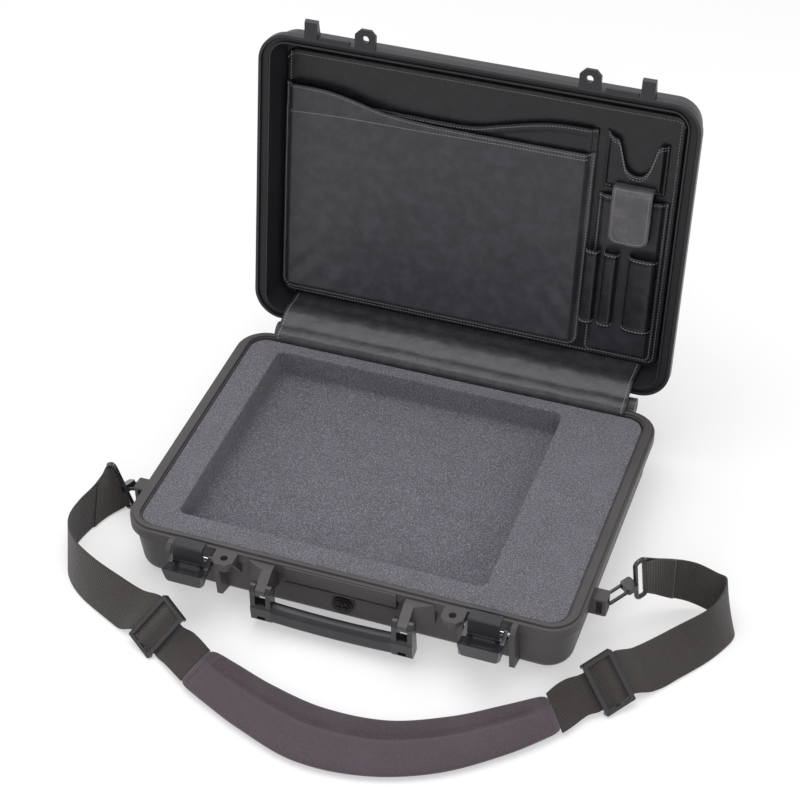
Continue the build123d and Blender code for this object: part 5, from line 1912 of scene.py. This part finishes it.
@dataclass
class ShoulderPad:
    """Curved neoprene-faced pad with a long seam, sewn shut over its webbing at both ends."""

    thickness: float = 12.0
    seam_side: float = 0.26
    seam_width: float = 2.4
    seam_depth: float = 3.2
    end_taper: float = 16.0
    end_line: float = 11.0
    end_depth: float = 1.3
    end_seam: float = 7.0
    swell: float = 0.8
    around: int = 56

    def ring(
        self, ribbon: Ribbon, index: int, run: float, length: float
    ) -> tuple[list[Vector], list[Pair]]:
        """One section of the pad.

        Args:
            ribbon: the pad's middle ribbon.
            index: the sample.
            run: its distance along the pad, in metres.
            length: the pad's length, in metres.

        Returns:
            The section's points and their map positions.
        """
        near = min(run, length - run) / MM
        taper = 0.42 + 0.58 * step_up(0.0, self.end_taper, near)
        narrow = 1.0 - 0.2 * (1.0 - round_over(near, 12.0))
        half = ribbon.widths[index] / 2 * narrow
        thick = self.thickness * MM / 2 * taper
        points, maps = [], []
        for step in range(self.around):
            angle = TURN * step / self.around
            cosine, sine = math.cos(angle), math.sin(angle)
            side = math.copysign(abs(cosine) ** 0.86, cosine)
            out = math.copysign(abs(sine) ** 0.62, sine)
            away = (side - self.seam_side) * half / MM / self.seam_width
            groove = math.exp(-(away**2)) * step_up(8.0, 26.0, near)
            end_line = math.exp(-(((near - self.end_line) / 1.2) ** 2))
            pinch = (self.seam_depth * groove + self.end_depth * end_line) * MM if sine > 0.0 else 0.0
            swell = self.swell * ripple(run / MM, side * 40.0, out * 20.0, 0.03) * MM
            lift = out * thick - pinch * out + swell * out * 0.6
            points.append(ribbon.spot(index, side * half, lift))
            maps.append((run, side * half))
        return points, maps

    def build(self, stitches: StitchTree) -> None:
        """Build the pad and its stitching.

        Args:
            stitches: the stitch tree.
        """
        ribbon = Ribbon.along(PAD_STATIONS, 1.0, step=2.2)
        if sum(way.z for way in ribbon.outward) < 0.0:
            ribbon.outward = [-way for way in ribbon.outward]
        runs = ribbon.distances()
        rings, maps = [], []
        for index, run in enumerate(runs):
            points, spots = self.ring(ribbon, index, run, runs[-1])
            rings.append([Vector((p.x, p.y, max(p.z, 0.3 * MM))) for p in points])
            maps.append(spots)
        pad = ring_solid("pad_body", rings, Finishes.PAD, maps)
        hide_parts("shoulder_pad")
        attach(pad, "base")
        log.info("pad_body: %d faces", len(pad.data.polygons))
        thread = stitches.sew("pad_stitches", self.seams(ribbon, runs), Finishes.PAD_THREAD, 0.0034)
        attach(thread, "base")
        log.info("pad_stitches: %d faces", len(thread.data.polygons))

    def top_spot(self, ribbon: Ribbon, runs: Sequence[float], run: float, side: float) -> Vector:
        """A point on the pad's outer face.

        Args:
            ribbon: the pad's middle ribbon.
            runs: the distances of its samples.
            run: distance along, in metres.
            side: share of the half width.

        Returns:
            The point.
        """
        index = min(range(len(runs)), key=lambda k: abs(runs[k] - run))
        near = min(run, runs[-1] - run) / MM
        taper = 0.42 + 0.58 * step_up(0.0, self.end_taper, near)
        lift = self.thickness * MM / 2 * taper * (1.0 - abs(side) ** (1 / 0.43)) ** 0.31
        return ribbon.spot(index, side * ribbon.widths[index] / 2, lift + 0.1 * MM)

    def seams(self, ribbon: Ribbon, runs: Sequence[float]) -> list[list[Vector]]:
        """Rows of stitches over both ends.

        Args:
            ribbon: the pad's middle ribbon.
            runs: the distances of its samples.

        Returns:
            The seams.
        """
        seams = []
        for start in (self.end_seam * MM, runs[-1] - self.end_seam * MM):
            seams.append([self.top_spot(ribbon, runs, start, 0.78 * (k - 12) / 12) for k in range(25)])
        return seams


@dataclass
class ShoulderStrap:
    """The whole strap: two webbing sides and the pad."""

    left: StrapSide = field(
        default_factory=lambda: StrapSide(
            "left", -1, (-39.7, 16.9, -25.0), 0.6,
            ((-186.0, -277.0, 6.5), (-159.5, -252.5, 41.5)), (42.0, -19.0, -6.0),
            (
                ((-308.0, -110.0, 1.5), (-318.0, -88.0, 45.0)),
                ((-316.0, -136.0, 1.0), (-321.0, -106.0, 42.0)),
                ((-320.0, -162.0, 1.0), (-327.0, -130.0, 40.0)),
                ((-317.0, -184.0, 1.0), (-327.0, -154.0, 40.0)),
                ((-309.0, -203.0, 1.0), (-317.0, -176.0, 43.0)),
                ((-296.0, -219.0, 1.0), (-297.0, -197.0, 46.0)),
                ((-278.0, -233.0, 1.0), (-269.0, -213.0, 46.0)),
                ((-252.0, -247.0, 1.5), (-236.0, -225.0, 43.5)),
                ((-222.0, -261.5, 3.0), (-202.0, -235.5, 41.5)),
            ),
            (((-153.5, -296.0, 4.5), (-130.5, -262.5, 29.0)), PAD_STATIONS[0]),
        )
    )
    right: StrapSide = field(
        default_factory=lambda: StrapSide(
            "right", 1, (29.0, 40.3, 6.0), 0.0,
            ((306.0, -195.5, 7.0), (277.5, -181.5, 45.5)), (-31.0, -33.0, -4.0),
            (
                ((317.0, -42.0, 17.0), (314.0, -36.0, 66.0)),
                ((339.0, -33.0, 8.0), (341.0, -23.0, 57.0)),
                ((363.0, -34.0, 2.5), (366.0, -25.0, 51.5)),
                ((384.0, -42.0, 1.5), (376.0, -26.0, 47.0)),
                ((395.0, -58.0, 1.0), (376.0, -45.0, 45.0)),
                ((391.0, -78.0, 1.0), (368.0, -72.0, 45.0)),
                ((371.0, -115.0, 1.5), (338.0, -103.0, 37.0)),
                ((336.0, -162.0, 4.0), (307.0, -147.0, 41.5)),
            ),
            (((280.0, -221.0, 5.5), (252.5, -208.0, 38.5)), PAD_STATIONS[-1]),
        )
    )
    pad: ShoulderPad = field(default_factory=ShoulderPad)

    def build(self, stitches: StitchTree) -> None:
        """Build both sides and the pad.

        Args:
            stitches: the stitch tree.
        """
        self.left.build(stitches)
        self.right.build(stitches)
        self.pad.build(stitches)


# --- Studio ----------------------------------------------------------------------------------


@dataclass
class Lamp:
    """A soft square lamp."""

    name: str
    place: Point
    aim: Point
    size: float
    power: float
    colour: Colour

    def build(self) -> None:
        """Hang the lamp and turn it to its aim."""
        data = bpy.data.lights.new(self.name, "AREA")
        data.size = self.size
        data.energy = self.power
        data.color = self.colour
        lamp = bpy.data.objects.new(self.name, data)
        bpy.context.scene.collection.objects.link(lamp)
        lamp.location = self.place
        aim = Vector(self.aim) - Vector(self.place)
        lamp.rotation_euler = aim.to_track_quat("-Z", "Y").to_euler()


@dataclass
class Studio:
    """Camera, pale floor, world and soft lamps."""

    eye: Point = (0.57488, -1.58043, 1.60068)
    right: Point = (0.94277757, 0.33331886, -0.00830553)
    up: Point = (-0.21009944, 0.61323051, 0.76145031)
    back: Point = (0.25889896, -0.71613328, 0.64817008)
    lens: float = 93.03
    floor_half: float = 6.0
    floor_white: float = 0.8
    floor_colour: Colour = (0.85, 0.85, 0.85)
    white: Colour = (1.0, 1.0, 1.0)
    ambient: float = 0.36
    lamps: tuple[Lamp, ...] = (
        Lamp("overhead", (-0.35, 0.25, 2.1), (0.0, 0.0, 0.05), 1.6, 26.0, (0.97, 0.97, 1.0)),
        Lamp("front_fill", (0.7, -2.2, 1.3), (0.0, 0.0, 0.1), 1.5, 15.0, (1.0, 0.97, 0.94)),
        Lamp("left_fill", (-2.2, -0.7, 1.1), (0.0, 0.0, 0.15), 1.2, 10.0, (1.0, 0.99, 0.98)),
        Lamp("right_edge", (1.9, 0.8, 1.3), (0.0, 0.1, 0.15), 1.0, 7.0, (1.0, 1.0, 1.0)),
    )

    def camera(self) -> None:
        """Set the camera."""
        data = bpy.data.cameras.new("view")
        data.lens = self.lens
        data.sensor_width = 36.0
        data.clip_end = 50.0
        camera = bpy.data.objects.new("view", data)
        bpy.context.scene.collection.objects.link(camera)
        turn = Matrix((self.right, self.up, self.back)).transposed().to_4x4()
        camera.matrix_world = Matrix.Translation(Vector(self.eye)) @ turn
        bpy.context.scene.camera = camera

    def seen_white(self, tree: bpy.types.NodeTree) -> Value:
        """Mask that is 1 for what the eye, a gloss or glass sees.

        Args:
            tree: the node tree to add to.

        Returns:
            The mask.
        """
        path = tree.nodes.new("ShaderNodeLightPath")
        mask = Value(tree, path.outputs["Is Camera Ray"])
        for output in ("Is Glossy Ray", "Is Transmission Ray"):
            mask = mask.math("MAXIMUM", Value(tree, path.outputs[output]))
        return mask

    def world(self) -> None:
        """White behind everything, softer as a light."""
        world = bpy.data.worlds.new("studio")
        bpy.context.scene.world = world
        world.use_nodes = True
        tree = world.node_tree
        plain = tree.nodes["Background"]
        plain.inputs["Color"].default_value = (*self.white, 1.0)
        mask = self.seen_white(tree)
        strength = self.ambient + mask * (1.0 - self.ambient)
        tree.links.new(strength.socket, plain.inputs["Strength"])

    def floor(self) -> None:
        """Pale floor that keeps the case's shadow."""
        half = self.floor_half
        mesh = bpy.data.meshes.new("studio_floor")
        corners = [(-half, -half, 0.0), (half, -half, 0.0), (half, half, 0.0), (-half, half, 0.0)]
        mesh.from_pydata(corners, [], [(0, 1, 2, 3)])
        floor = bpy.data.objects.new("studio_floor", mesh)
        bpy.context.scene.collection.objects.link(floor)
        material = bpy.data.materials.new("studio_floor")
        material.use_nodes = True
        tree = material.node_tree
        tree.nodes.clear()
        matt = tree.nodes.new("ShaderNodeBsdfDiffuse")
        matt.inputs["Color"].default_value = (*self.floor_colour, 1.0)
        glow = tree.nodes.new("ShaderNodeEmission")
        glow.inputs["Color"].default_value = (*self.white, 1.0)
        mix = tree.nodes.new("ShaderNodeMixShader")
        output = tree.nodes.new("ShaderNodeOutputMaterial")
        share = self.seen_white(tree) * self.floor_white
        tree.links.new(share.socket, mix.inputs[0])
        tree.links.new(matt.outputs[0], mix.inputs[1])
        tree.links.new(glow.outputs[0], mix.inputs[2])
        tree.links.new(mix.outputs[0], output.inputs["Surface"])
        mesh.materials.append(material)

    def build(self) -> None:
        """Set the whole studio."""
        self.camera()
        self.world()
        self.floor()
        for lamp in self.lamps:
            lamp.build()
        bpy.context.scene.view_settings.view_transform = "Standard"
        log.info("studio: %d lamps", len(self.lamps))


def main() -> None:
    """Build every part of the case, its soft goods and the studio."""
    logging.basicConfig(level=logging.INFO, format="%(name)s %(message)s")
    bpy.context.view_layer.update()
    Studio().build()
    Fittings().build()
    FoamInsert().build()
    organiser = LidOrganiser()
    organiser.build()
    HingeCover().build(organiser.stitches)
    ShoulderStrap().build(organiser.stitches)


if __name__ == "__main__":
    main()
